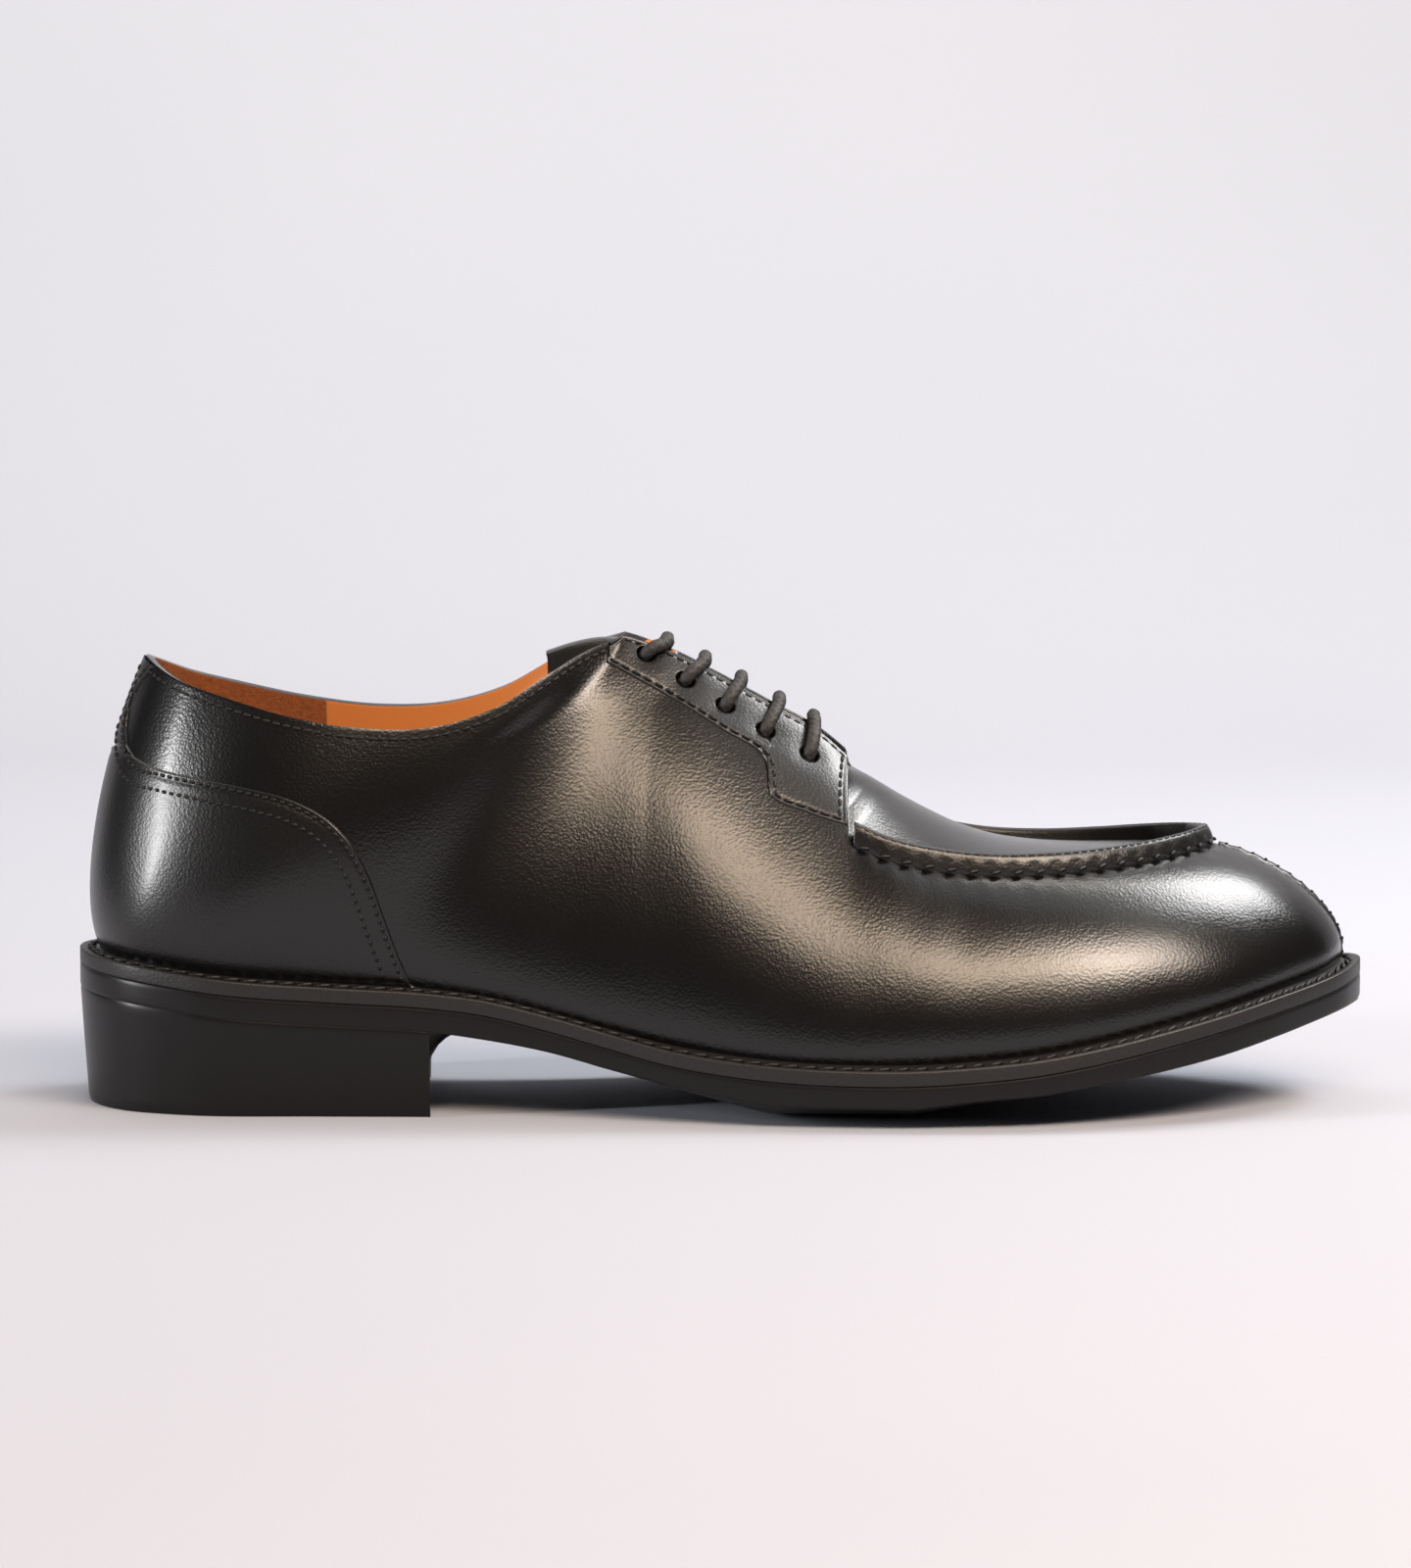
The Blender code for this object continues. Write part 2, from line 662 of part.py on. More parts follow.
def build_heel():
    """Stacked heel block with a hollow breast that runs out under the waist."""
    body = Solid()
    columns = 6
    s = np.linspace(0.0, s_at_x(HEEL_BREAST), 14)
    shares = np.linspace(-1.0, 1.0, columns + 1)
    layers = []
    for share, inset in HEEL_SIDE:
        outer = inset_xy(s, np.full(len(s), inset))
        inner = inset_xy(-s, np.full(len(s), inset))
        grid = (1 - shares[None, :, None]) / 2 * outer[:, None] + (1 + shares[None, :, None]) / 2 * inner[:, None]
        near_breast = (s / s[-1])[:, None] ** 4
        grid[..., 0] -= near_breast * 3.5 * (1 - shares ** 2)
        grid[..., 0] += near_breast * 10.0 * share ** 4 * (1 - shares ** 6)
        z = (sole_bottom(grid[..., 0], 0.0) - GAP) * share
        layers.append(body.add(np.concatenate((grid, z[..., None]), axis=-1)))
    for layer in layers:
        layer[0, :] = layer[0, 0]
    bottom, top = layers[0], layers[-1]
    body.quads(bottom[:, ::-1])
    body.quads(top)
    rims = [np.concatenate((layer[:, 0], layer[-1, 1:-1], layer[::-1, -1][:-1])) for layer in layers]
    body.quads(np.array(rims).T, closed=True)
    return body


def build_upper():
    """One hollow solid: side panels, quarters and plug are one sheet with a real wall."""
    sheet = Solid()
    panel_s = np.linspace(S_FRONT, 1.0, 13)[1:]
    quarters = np.concatenate((-QUARTER_RIBS[:0:-1], QUARTER_RIBS))
    panels = np.concatenate((panel_s, -panel_s[-2::-1]))
    low = np.linspace(0.0, 1.0, 6)
    high = np.linspace(SEAM_START, 1.0, 5)
    quarter_low = sheet.add(skin(quarters[:, None], low * SEAM_START))
    panel_low = sheet.add(skin(panels[:, None], low))
    sheet.quads(np.concatenate((quarter_low, panel_low)), closed=True)
    quarter_high = sheet.add(skin(quarters[:, None], high[1:]))
    upper_band = np.concatenate((quarter_low[:, -1:], quarter_high), axis=1)
    sheet.quads(upper_band)
    across = np.linspace(0.0, 1.0, 9)
    under = -np.linspace(1.0, 0.0, len(high))[:-1]
    outer_step = sheet.add(plug_edge(under, 1))
    inner_step = sheet.add(plug_edge(under, -1))
    sheet.quads(np.array((upper_band[-1, 1:][::-1], outer_step)))
    sheet.quads(np.array((inner_step, upper_band[0, 1:][::-1])))
    for band, step in ((upper_band[-1], outer_step), (upper_band[0], inner_step)):
        corner = [band[0], band[1], step[-1]]
        sheet.faces.append(corner if band is upper_band[-1] else corner[::-1])
    outer_edge = np.concatenate((outer_step, [upper_band[-1, 0]], panel_low[:len(panel_s), -1]))
    inner_edge = np.concatenate((inner_step, [upper_band[0, 0]], panel_low[len(panel_s) - 1:, -1][::-1]))
    w = np.concatenate((under, [0.0], (panel_s[:-1] - S_FRONT) / (1.0 - S_FRONT)))
    inside = sheet.add(plug(w[:, None], across[1:-1]))
    lines = np.column_stack((outer_edge[:-1], inside, inner_edge[:-1]))
    tip = np.full((1, len(across)), outer_edge[-1])
    sheet.quads(np.concatenate((lines, tip)))
    sheet.orient()
    return thicken(sheet, -WALL, 0.0)


def build_overlay(s, low, high, rows):
    """Closed patch over the skin: a row of s, with the v where each rib starts and ends."""
    body = Solid()
    share = np.linspace(0.0, 1.0, rows + 1)
    v = low[:, None] * (1 - share) + high[:, None] * share
    places = np.broadcast_to(s[:, None], v.shape)
    inner = body.add(raised(places, v, np.full(v.shape, GAP)))
    outer = body.add(raised(places, v, np.full(v.shape, GAP + OVERLAY_THICKNESS)))
    body.quads(outer)
    body.quads(inner[:, ::-1])
    rims = [np.concatenate((grid[:-1, 0], grid[-1, :-1], grid[:0:-1, -1], grid[0, :0:-1]))
            for grid in (inner, outer)]
    body.quads(np.array(rims).T, closed=True)
    return body


def with_middles(places):
    """A row of places with one more halfway between each two."""
    return np.interp(np.arange(2 * len(places) - 1) / 2, np.arange(len(places)), places)


def crossing(s, table, from_top):
    """v where a rib crosses an edge that is given in side view."""
    v = np.linspace(0.0, 1.0, 241)
    result = []
    for place in s:
        points = skin(place, v)
        line = np.interp(points[:, 0], column(table, 0), column(table, 1))
        over = points[:, 2] > line
        if from_top:
            below = np.nonzero(~over)[0]
            result.append(v[below[-1]] if len(below) else 0.0)
        else:
            above = np.nonzero(over)[0]
            result.append(v[above[0]] if len(above) else 1.0)
    return np.array(result)


def build_counter():
    strip = STRIP_HALF_WIDTH / OUTLINE_LENGTH
    ribs = with_middles(QUARTER_RIBS[QUARTER_RIBS < s_at_x(COUNTER_EDGE[-2][0])])
    side = np.concatenate((ribs[1:3], (strip, strip * 1.14, strip * 1.3), ribs[ribs > strip * 1.4]))
    s = np.concatenate((-side[::-1], (0.0,), side))
    high = crossing(s, COUNTER_EDGE, from_top=False)
    high = np.where(np.abs(s) <= strip, 0.985, high)
    return build_overlay(s, np.full(len(s), 0.012), np.maximum(high, 0.03), 7)


def build_eyestay(side):
    s = with_middles(QUARTER_RIBS[QUARTER_RIBS > S_THROAT * 0.93])
    s[-1] = S_FRONT * 0.998
    low = crossing(s, EYESTAY_EDGE, from_top=True)
    return build_overlay(s * side, low, np.full(len(s), 1.0), 4)


def build_apron_rim():
    """Raised sewn rim that follows the fold between side panels and plug."""
    body = Solid()
    w = np.linspace(0.055, 1.0, 19)
    half = S_FRONT + w * (1.0 - S_FRONT)
    s = np.concatenate((half, -half[-2::-1]))
    fold = seam_line(s)
    down_wall = unit(skin(s, 0.95) - fold)
    ends = np.concatenate((plug(w, 0.035), plug(w[-2::-1], 0.965)))
    width = np.linalg.norm(ends - fold, axis=1, keepdims=True)
    down_plug = unit(np.where(width > 0.5, ends - fold, plug(0.85, 0.5) - fold))
    normal_wall = skin_normal(s, 0.98)
    up = unit(normal_wall + np.array((0.0, 0.0, 1.0)))
    lift = np.array((0.0, 0.0, 1.0)) * 0.55 + up * 0.45
    section = (
        fold + down_wall * 2.3 + normal_wall * 0.4,
        fold + up * 0.8,
        fold + down_plug * 1.7 + up * 1.15,
        fold + down_plug * 1.6 + lift * 2.6,
        fold + down_plug * 0.8 + lift * 3.9,
        fold + down_wall * 0.5 + lift * 4.1,
        fold + down_wall * 1.6 + lift * 3.4,
        fold + down_wall * 2.4 + lift * 1.8,
    )
    grid = np.array([body.add(points) for points in section]).T
    body.quads(np.concatenate((grid, grid[:, :1]), axis=1)[:, ::-1])
    body.faces.append(list(grid[0][::-1]))
    body.faces.append(list(grid[-1]))
    return body


def build_toe_seam():
    """Raised seam down the middle of the toe, from the apron's tip to the welt."""
    body = Solid()
    v = np.linspace(0.03, 0.90, 14)
    near = 0.0032
    offsets = ((-near, GAP), (near, GAP), (near * 0.75, 0.95), (0.0, 1.3), (-near * 0.75, 0.95))
    grid = np.array([body.add(raised(1.0 + place, v, np.full(len(v), height)))
                     for place, height in offsets]).T
    body.quads(np.concatenate((grid, grid[:, :1]), axis=1)[:, ::-1])
    body.faces.append(list(grid[0]))
    body.faces.append(list(grid[-1][::-1]))
    return body


def build_tongue():
    """Sheet under the facings. It starts under the plug and ends free behind the throat."""
    across = np.linspace(-1.0, 1.0, 10)
    depth = WALL + TONGUE_SLOT
    places = np.linspace(S_THROAT, S_THROAT + 0.84 * (S_FRONT - S_THROAT), 9)
    narrowing = np.interp(places, (places[-4], places[-1]), (1.0, 0.62))
    rows = instep(places[:, None], across * narrowing[:, None])
    normals = unit(np.cross(np.gradient(rows, axis=0), np.gradient(rows, axis=1)))
    under = rows - normals * np.sign(normals[..., 2:3]) * depth
    free = [under[0] * np.array((1.0, share, 1.0)) + np.array((back, 0.0, up))
            for back, up, share in TONGUE_TOP[::-1]]
    front = [plug(w, 0.5 + 0.3 * across) - np.array((0.3, 0.0, 1.0)) * (WALL + GAP) * 1.5
             for w in (-0.95, -0.5)]
    sheet = Solid()
    sheet.quads(sheet.add(np.array(free + list(under) + front)))
    return thicken(sheet, -TONGUE_THICKNESS, 0.0)


def place_at(side, x, z):
    """s and v of the point on one side of the upper that has this x and z."""
    place = np.array((side * (S_THROAT + S_FRONT) / 2, 0.88))
    small = 1e-4
    for _ in range(20):
        here = skin(*place)[[0, 2]]
        by_s = (skin(place[0] + small, place[1])[[0, 2]] - here) / small
        by_v = (skin(place[0], place[1] + small)[[0, 2]] - here) / small
        place += np.linalg.solve(np.column_stack((by_s, by_v)), np.array((x, z)) - here) * 0.7
    return place


def tube(path, radius, sides):
    """Closed tube along a row of points."""
    body = Solid()
    along = unit(np.gradient(path, axis=0))
    side = np.cross(along[0], (1.0, 0.0, 0.0))
    rings = []
    angle = np.linspace(0.0, 2 * np.pi, sides + 1)[:-1]
    for point, direction in zip(path, along):
        side = unit(side - direction * np.dot(side, direction))
        other = np.cross(direction, side)
        circle = point + radius * (np.cos(angle)[:, None] * side + np.sin(angle)[:, None] * other)
        rings.append(body.add(circle))
    grid = np.array(rings)
    body.quads(np.concatenate((grid, grid[:, :1]), axis=1)[:, ::-1])
    body.faces.append(list(grid[0]))
    body.faces.append(list(grid[-1][::-1]))
    return body


def build_lace_bar(pair):
    """One bar of the lace, from inside one eyelet over the throat into the other."""
    over = GAP + OVERLAY_THICKNESS + GAP + LACE_RADIUS
    ends = []
    for s, v in pair:
        hole = skin(s, v)
        normal = skin_normal(s, v)
        edge = skin(s, 1.0)
        edge_normal = unit(skin_normal(s, 1.0) + np.array((0.0, 0.0, 0.6)))
        ends.append([hole - normal * (WALL + 0.4), hole - normal * 0.6, hole + normal * over * 0.6,
                     hole * 0.7 + edge * 0.3 + normal * (over + 0.1), edge + edge_normal * over])
    middle = (ends[0][-1] + ends[1][-1]) / 2 + np.array((0.0, 0.0, 0.3))
    points = np.array(ends[0] + [middle] + ends[1][::-1])
    keys = lengths(points)
    return tube(smooth(keys, points, np.linspace(0.0, 1.0, 17)), LACE_RADIUS, sides=7)


def build_cutters(places):
    """Rods through every eyelet, as one cutting mesh."""
    body = Solid()
    for s, v in (place for pair in places for place in pair):
        path = skin(s, v) + skin_normal(s, v) * np.array((-4.5, 0.0, 4.5))[:, None]
        rod = tube(path, EYELET_RADIUS, sides=8)
        first = len(body.points)
        body.points += rod.points
        body.faces += [[number + first for number in face] for face in rod.faces]
    return body


def cut_eyelets(target, cutter):
    cut = target.modifiers.new("eyelets", "BOOLEAN")
    cut.operation = "DIFFERENCE"
    cut.solver = "EXACT"
    cut.object = cutter


for old in list(bpy.data.objects):
    bpy.data.objects.remove(old, do_unlink=True)

outline_samples = outline_xy(np.linspace(-1.0, 1.0, 400))
ORIGIN = np.array((*(outline_samples.min(axis=0) + outline_samples.max(axis=0)) / 2, 0.0))
SHOE = bpy.data.objects.new("shoe", None)
bpy.context.scene.collection.objects.link(SHOE)

leather = (0.012, 0.011, 0.011)
make_object("outsole", build_outsole(), principled("sole_edge", (0.02, 0.019, 0.019), 0.4))
make_object("heel", build_heel(), principled("heel_stack", (0.018, 0.017, 0.017), 0.38))
make_object("welt", build_welt(), principled("welt_leather", (0.016, 0.015, 0.015), 0.42))
make_object("insole", build_insole(), principled("insole_leather", (0.42, 0.19, 0.07), 0.7))
upper = make_object("upper", build_upper(), principled("calf_leather", leather, 0.28))
make_object("counter", build_counter(), principled("counter_leather", leather, 0.27))
make_object("apron_rim", build_apron_rim(), principled("rim_leather", leather, 0.3))
make_object("toe_seam", build_toe_seam(), principled("toe_seam_leather", leather, 0.3))
make_object("tongue", build_tongue(), principled("tongue_leather", leather, 0.35))
eyelets = [(place_at(1, x_outer, z), place_at(-1, x_inner, z)) for x_outer, x_inner, z in EYELETS]
cutter = make_object("eyelet_cutter", build_cutters(eyelets), principled("cutter", (0.5, 0.5, 0.5), 0.5))
cutter.hide_render = True
cutter.display_type = "WIRE"
cut_eyelets(upper, cutter)
for side, name in ((1, "eyestay_lateral"), (-1, "eyestay_medial")):
    eyestay = make_object(name, build_eyestay(side), principled(name + "_leather", leather, 0.28))
    cut_eyelets(eyestay, cutter)
for number, pair in enumerate(eyelets, start=1):
    make_object(f"lace_bar_{number}", build_lace_bar(pair),
                principled(f"lace_cord_{number}", (0.014, 0.013, 0.013), 0.6))
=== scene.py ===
"""Looks of the apron toe derby: finer surfaces, stitches, laces, materials, floor, lights, camera.

Sizes are millimetres on the last: x runs from the back of the heel to the toe,
y is negative on the outer (little toe) side, and z is the height over the floor.
A place on the upper is (s, v). s goes round the foot: 0 is the back of the heel,
1 and -1 are the tip of the toe, above 0 is the outer side and below 0 the inner.
v goes up the upper: 0 is the welt and 1 is the top edge or the apron's seam.
"""
import math

import bpy
import numpy as np
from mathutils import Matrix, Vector


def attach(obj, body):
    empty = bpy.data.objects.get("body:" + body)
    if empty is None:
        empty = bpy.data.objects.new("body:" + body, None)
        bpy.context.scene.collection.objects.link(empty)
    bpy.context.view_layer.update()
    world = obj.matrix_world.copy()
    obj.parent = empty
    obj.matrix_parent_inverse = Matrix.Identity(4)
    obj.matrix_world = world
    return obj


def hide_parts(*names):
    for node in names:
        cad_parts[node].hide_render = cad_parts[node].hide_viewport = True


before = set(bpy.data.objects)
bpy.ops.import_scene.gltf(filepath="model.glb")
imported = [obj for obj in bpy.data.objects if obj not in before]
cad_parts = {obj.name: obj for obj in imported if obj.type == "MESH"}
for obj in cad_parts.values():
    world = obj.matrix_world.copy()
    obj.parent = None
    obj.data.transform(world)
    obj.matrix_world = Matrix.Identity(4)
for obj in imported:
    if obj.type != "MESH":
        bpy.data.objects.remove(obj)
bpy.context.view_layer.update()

MM = 0.001

# Sizes of the part in mm, and shares of the outline or of a width.
GAP = 0.3
FEATHER_INSET = 5.5
WALL = 2.0
CORNER_SPEED = 0.15
CORNER_SPAN = 0.3
WELT_THICKNESS = 3.7
WELT_INNER_INSET = 8.7
WELT_RISE = 0.0
INSOLE_RISE = 1.5
TONGUE_REACH = 0.22
THROAT_SHARE = 0.3
LACE_RADIUS = 1.62
HEEL_BREAST = 85.0
FLAT_SHARE = 0.34
TOLERANCE = 1e-9

# Fine sizes, in mm. The grain and fibres of the leather are drawn coarser than real ones, so
# that they show.
DIMPLE = 0.45
PUCKER = 0.14
BRAID_PITCH = 3.4
GRAIN_SIZE = 0.7
FIBRE_SIZE = 0.85
OVERLAY_RISE = 0.62
OVERLAY_SINK = 0.4
COUNTER_FRONT_X = 82.0
STITCH_INSET = 1.5
COUNTER_INSETS = (1.5, 5.2)
WELT_STITCH_INSET = 2.7

# Stitches: pitch, length, width, thickness.
COLLAR_STITCH = (2.5, 2.0, 0.8, 0.7)
EYESTAY_STITCH = (2.9, 2.3, 0.95, 0.85)
FACING_STITCH = (2.6, 1.9, 0.6, 0.5)
COUNTER_STITCH = (2.1, 1.5, 0.9, 0.8)
RIM_STITCH = (2.2, 1.7, 0.42, 0.4)
HAND_STITCH = (5.2, 3.4, 1.1, 1.0)
WELT_STITCH = (4.3, 3.7, 1.35, 1.25)
TOE_STITCH = (3.4, 1.9, 0.7, 0.45)
HAND_STITCH_PITCH = HAND_STITCH[0]

# x where the brushed grip of the lining ends, and how far each lace bar leans forward.
GRIP_END = 57.5
LACE_LEAN = (4.3, 4.0, 3.2, 2.8, 0.8)

# Rows of the heel block, as shares of its height.
HEEL_ROWS = (0.0, 0.02, 0.05, 0.12, 0.25, 0.4, 0.55, 0.7, 0.82, 0.9, 0.96, 0.985, 1.0)

# Camera: place in mm, degrees down from level, lens in mm. Then the strength of the even light.
CAMERA_PLACE = (149.3, -1300.0, 196.6)
CAMERA_PITCH = 5.344
CAMERA_LENS = 125.82
WORLD_STRENGTH = 0.05

# Shallow creases: x, z, slant, reach along, width, depth.
CREASES = (
    (196.0, 44.0, 0.35, 14.0, 5.6, 0.14),
    (208.0, 40.0, 0.30, 12.0, 5.0, 0.12),
    (176.0, 52.0, 0.40, 15.0, 7.0, 0.12),
)

# Edge of the narrow strip up the back of the heel in side view: x, z from the bottom up.
STRIP_EDGE = (
    (16.5, 81.0),
    (13.0, 85.0),
    (12.3, 89.0),
    (12.6, 93.0),
    (13.8, 97.0),
    (16.2, 100.6),
    (19.2, 103.6),
)

# Soft lights: name, place, aim, size, power, colour, in metres and watts.
LIGHTS = (
    ("overhead", (0.1, 0.25, 1.5), (0.05, 0.0, 0.0), (2.2, 1.0), 7.0, "#FFFFFF"),
    ("left_box", (-1.45, -0.52, 0.38), (-0.12, 0.0, 0.08), (0.08, 0.5), 17.0, "#FFFFFF"),
    ("front_right", (0.75, -0.68, 0.93), (0.08, 0.0, 0.05), (0.6, 0.5), 13.0, "#FFEFE2"),
    ("rear_right", (0.72, 0.38, 0.95), (0.12, 0.0, 0.04), (0.5, 0.4), 11.0, "#FFFFFF"),
    ("front_high", (0.45, -1.2, 1.25), (0.03, 0.0, 0.05), (1.55, 0.4), 36.0, "#FFE6CC"),
    ("backdrop_glow", (0.0, 0.6, 1.6), (0.0, 1.7, 0.9), (2.4, 0.8), 46.0, "#FFF7EC"),
)

# Evening out of the ribs at the throat: width of the zone in s, depth below the top edge in v
# over which it starts, and its reach in s.
SOFT_ZONE = 0.16
SOFT_BELOW = 0.16
SOFT_REACH = 0.105

# Sole and welt seen from above: x, y of the outer edge, y of the inner edge.
OUTLINE = (
    (0.0, 0.0, 0.0),
    (3.0, -13.5, 13.5),
    (11.0, -24.5, 24.5),
    (28.0, -33.0, 32.5),
    (60.0, -35.0, 34.5),
    (90.0, -36.0, 32.5),
    (120.0, -40.0, 32.0),
    (150.0, -47.5, 38.0),
    (180.0, -53.5, 46.5),
    (205.0, -55.0, 50.5),
    (230.0, -53.0, 50.0),
    (255.0, -46.0, 45.0),
    (275.0, -36.0, 37.5),
    (291.0, -22.5, 29.0),
    (302.4, -8.2, 20.0),
    (306.4, 7.0, 7.0),
)

# Side view of the sole: x, top of the welt's edge, underside at the middle, lift of its edges.
SOLE = (
    (0.0, 36.8, 27.7, 0.0),
    (20.0, 34.3, 25.2, 0.0),
    (40.0, 32.0, 22.9, 0.0),
    (62.0, 30.6, 21.5, 0.0),
    (85.0, 29.3, 20.2, 0.0),
    (97.0, 27.9, 18.3, 0.4),
    (113.0, 24.3, 14.9, 1.0),
    (127.0, 20.6, 10.6, 1.7),
    (140.0, 17.4, 6.6, 2.7),
    (154.0, 15.3, 2.6, 4.0),
    (167.0, 14.2, -0.5, 4.9),
    (183.0, 13.7, -1.2, 5.0),
    (199.0, 13.9, 0.3, 4.9),
    (213.0, 14.8, 2.5, 4.4),
    (226.0, 16.1, 4.5, 3.4),
    (240.0, 18.4, 7.0, 3.0),
    (254.0, 21.2, 9.7, 2.6),
    (269.0, 24.4, 13.0, 2.2),
    (283.0, 27.6, 16.6, 1.9),
    (297.0, 30.6, 20.2, 1.6),
    (307.0, 33.4, 22.8, 1.4),
)

# Edges of the upper, from the back of the heel forward: x, y of the outer side, y of the inner
# side, height of the outer side, height of the inner side.
COLLAR = (
    (16.6, 0.0, 0.0, 106.0, 106.0),
    (19.2, -8.0, 8.0, 104.2, 104.4),
    (26.0, -16.5, 16.0, 100.8, 101.2),
    (37.0, -23.0, 22.0, 97.4, 98.0),
    (53.0, -28.5, 27.0, 93.2, 94.2),
    (70.0, -30.5, 29.0, 90.8, 92.0),
    (86.0, -29.5, 28.5, 91.1, 92.6),
    (100.0, -26.0, 25.5, 95.2, 96.5),
    (112.0, -20.5, 20.5, 102.2, 103.2),
    (122.0, -13.0, 13.0, 107.9, 108.3),
    (130.0, -6.2, 6.2, 111.0, 111.0),
)
FACING = (
    (130.0, -6.2, 6.2, 111.0, 111.0),
    (136.4, -5.6, 5.6, 109.0, 109.0),
    (143.4, -5.3, 5.3, 106.0, 106.0),
    (153.6, -5.2, 5.2, 100.6, 100.6),
    (165.5, -5.4, 5.6, 94.0, 94.0),
    (177.0, -6.0, 6.6, 87.3, 87.5),
    (183.2, -7.6, 8.6, 81.8, 82.2),
)
SEAM = (
    (192.0, -28.6, 36.4, 61.4, 63.0),
    (203.0, -28.0, 36.8, 58.8, 60.0),
    (217.0, -26.4, 36.2, 57.2, 57.4),
    (231.0, -23.0, 34.4, 57.1, 56.9),
    (245.0, -16.8, 30.4, 57.8, 57.8),
    (256.0, -9.4, 24.4, 58.9, 59.1),
    (265.0, 0.0, 15.6, 60.1, 60.2),
    (268.6, 7.6, 7.6, 60.6, 60.6),
)

# Ribs that end at the throat's corner and at the quarter's front edge, as x on the outline. The
# apron's seam starts on the second one, at this share of its way up.
THROAT_RIB_X = 124.0
FRONT_RIB_X = 186.0
SEAM_START = 0.71

# How the ribs leave the welt and reach the top edge. at: x on the outline; out and up: from the
# welt to the first handle; top_out and top_up: from the top edge to the second handle. The rows
# of a quarter end at the front rib, and those of the side panel under the apron start there.
QUARTER_OUTER = (
    (0.0, 6.5, 13.0, 10.0, -21.0),
    (28.0, 8.5, 15.0, 6.5, -21.0),
    (60.0, 8.0, 16.0, 5.0, -21.0),
    (90.0, 5.0, 18.0, 7.0, -26.0),
    (112.0, 3.2, 22.0, 13.0, -28.0),
    (126.0, 3.0, 24.0, 19.0, -20.0),
    (140.0, 3.2, 21.0, 22.0, -17.0),
    (163.0, 3.8, 17.0, 23.0, -14.5),
    (186.0, 4.5, 14.0, 24.0, -12.0),
)
PANEL_OUTER = (
    (186.0, 3.2, 9.9, 14.2, -16.8),
    (200.0, 4.2, 11.5, 12.5, -11.0),
    (215.0, 4.5, 12.0, 12.0, -8.5),
    (245.0, 4.2, 11.0, 14.0, -6.0),
    (275.0, 4.2, 9.5, 16.0, -4.5),
    (305.0, 5.3, 9.2, 18.2, -3.0),
)
QUARTER_INNER = (
    (0.0, 6.5, 13.0, 10.0, -21.0),
    (28.0, 8.5, 15.0, 6.5, -21.0),
    (60.0, 7.5, 16.0, 4.5, -21.0),
    (90.0, 7.5, 19.0, 6.0, -26.0),
    (112.0, 8.2, 22.0, 12.0, -28.0),
    (126.0, 8.0, 24.0, 18.0, -20.0),
    (140.0, 7.4, 22.0, 21.0, -17.0),
    (163.0, 6.4, 18.5, 23.5, -14.0),
    (186.0, 5.5, 16.0, 26.0, -11.0),
)
PANEL_INNER = (
    (186.0, 3.9, 11.3, 14.0, -15.5),
    (200.0, 4.6, 12.8, 11.5, -11.0),
    (215.0, 4.5, 13.0, 10.5, -9.0),
    (245.0, 4.2, 11.5, 12.5, -7.0),
    (275.0, 4.2, 9.5, 15.5, -4.8),
    (305.0, 5.3, 9.2, 18.2, -3.0),
)

# Highest line along the plug: x, y, z.
RIDGE = (
    (183.9, 1.0, 79.2),
    (189.0, 2.5, 76.4),
    (195.0, 4.0, 72.6),
    (203.0, 5.0, 68.2),
    (210.0, 5.2, 64.9),
    (218.0, 5.6, 62.3),
    (228.0, 6.0, 60.8),
    (240.0, 6.5, 60.2),
    (254.0, 7.2, 60.2),
    (268.6, 7.6, 60.6),
)
RIDGE_AT_SEAM_START = 191.0
STEP_HEIGHT = 2.2
STEP_FORWARD = 1.0

# Eyelets from the top pair down: x on the outer side, x on the inner side, z of both.
EYELETS = (
    (135.2, 138.4, 106.6),
    (144.5, 147.5, 100.6),
    (153.9, 156.4, 94.6),
    (163.4, 165.6, 88.8),
    (173.8, 174.4, 83.2),
)

# Lower edge of the eyestay and edge of the heel counter in side view: x, z.
EYESTAY_EDGE = (
    (119.0, 108.0),
    (131.0, 101.8),
    (142.4, 95.6),
    (153.9, 88.5),
    (163.2, 82.2),
    (164.6, 74.2),
    (173.2, 70.2),
    (186.0, 66.2),
)
COUNTER_EDGE = (
    (12.0, 84.5),
    (16.0, 82.6),
    (21.0, 80.9),
    (30.7, 79.2),
    (42.3, 77.3),
    (53.7, 74.6),
    (60.6, 71.1),
    (66.3, 65.7),
    (70.9, 57.8),
    (74.2, 48.5),
    (77.4, 39.1),
    (80.8, 30.0),
    (83.0, 20.0),
)

# Free top of the tongue behind the throat: move back, move up, share of the width.
TONGUE_TOP = (
    (-5.5, 0.0, 0.92),
    (-11.5, -1.2, 0.86),
    (-17.6, -3.2, 0.76),
)

# Side of the heel block: share of its height, how far in from the sole's edge.
HEEL_SIDE = (
    (0.0, 2.3),
    (0.04, 1.8),
    (0.5, 0.9),
    (0.97, 0.1),
    (1.0, 0.25),
)


def unit(vectors):
    """Directions of vectors."""
    return vectors / np.linalg.norm(vectors, axis=-1, keepdims=True)


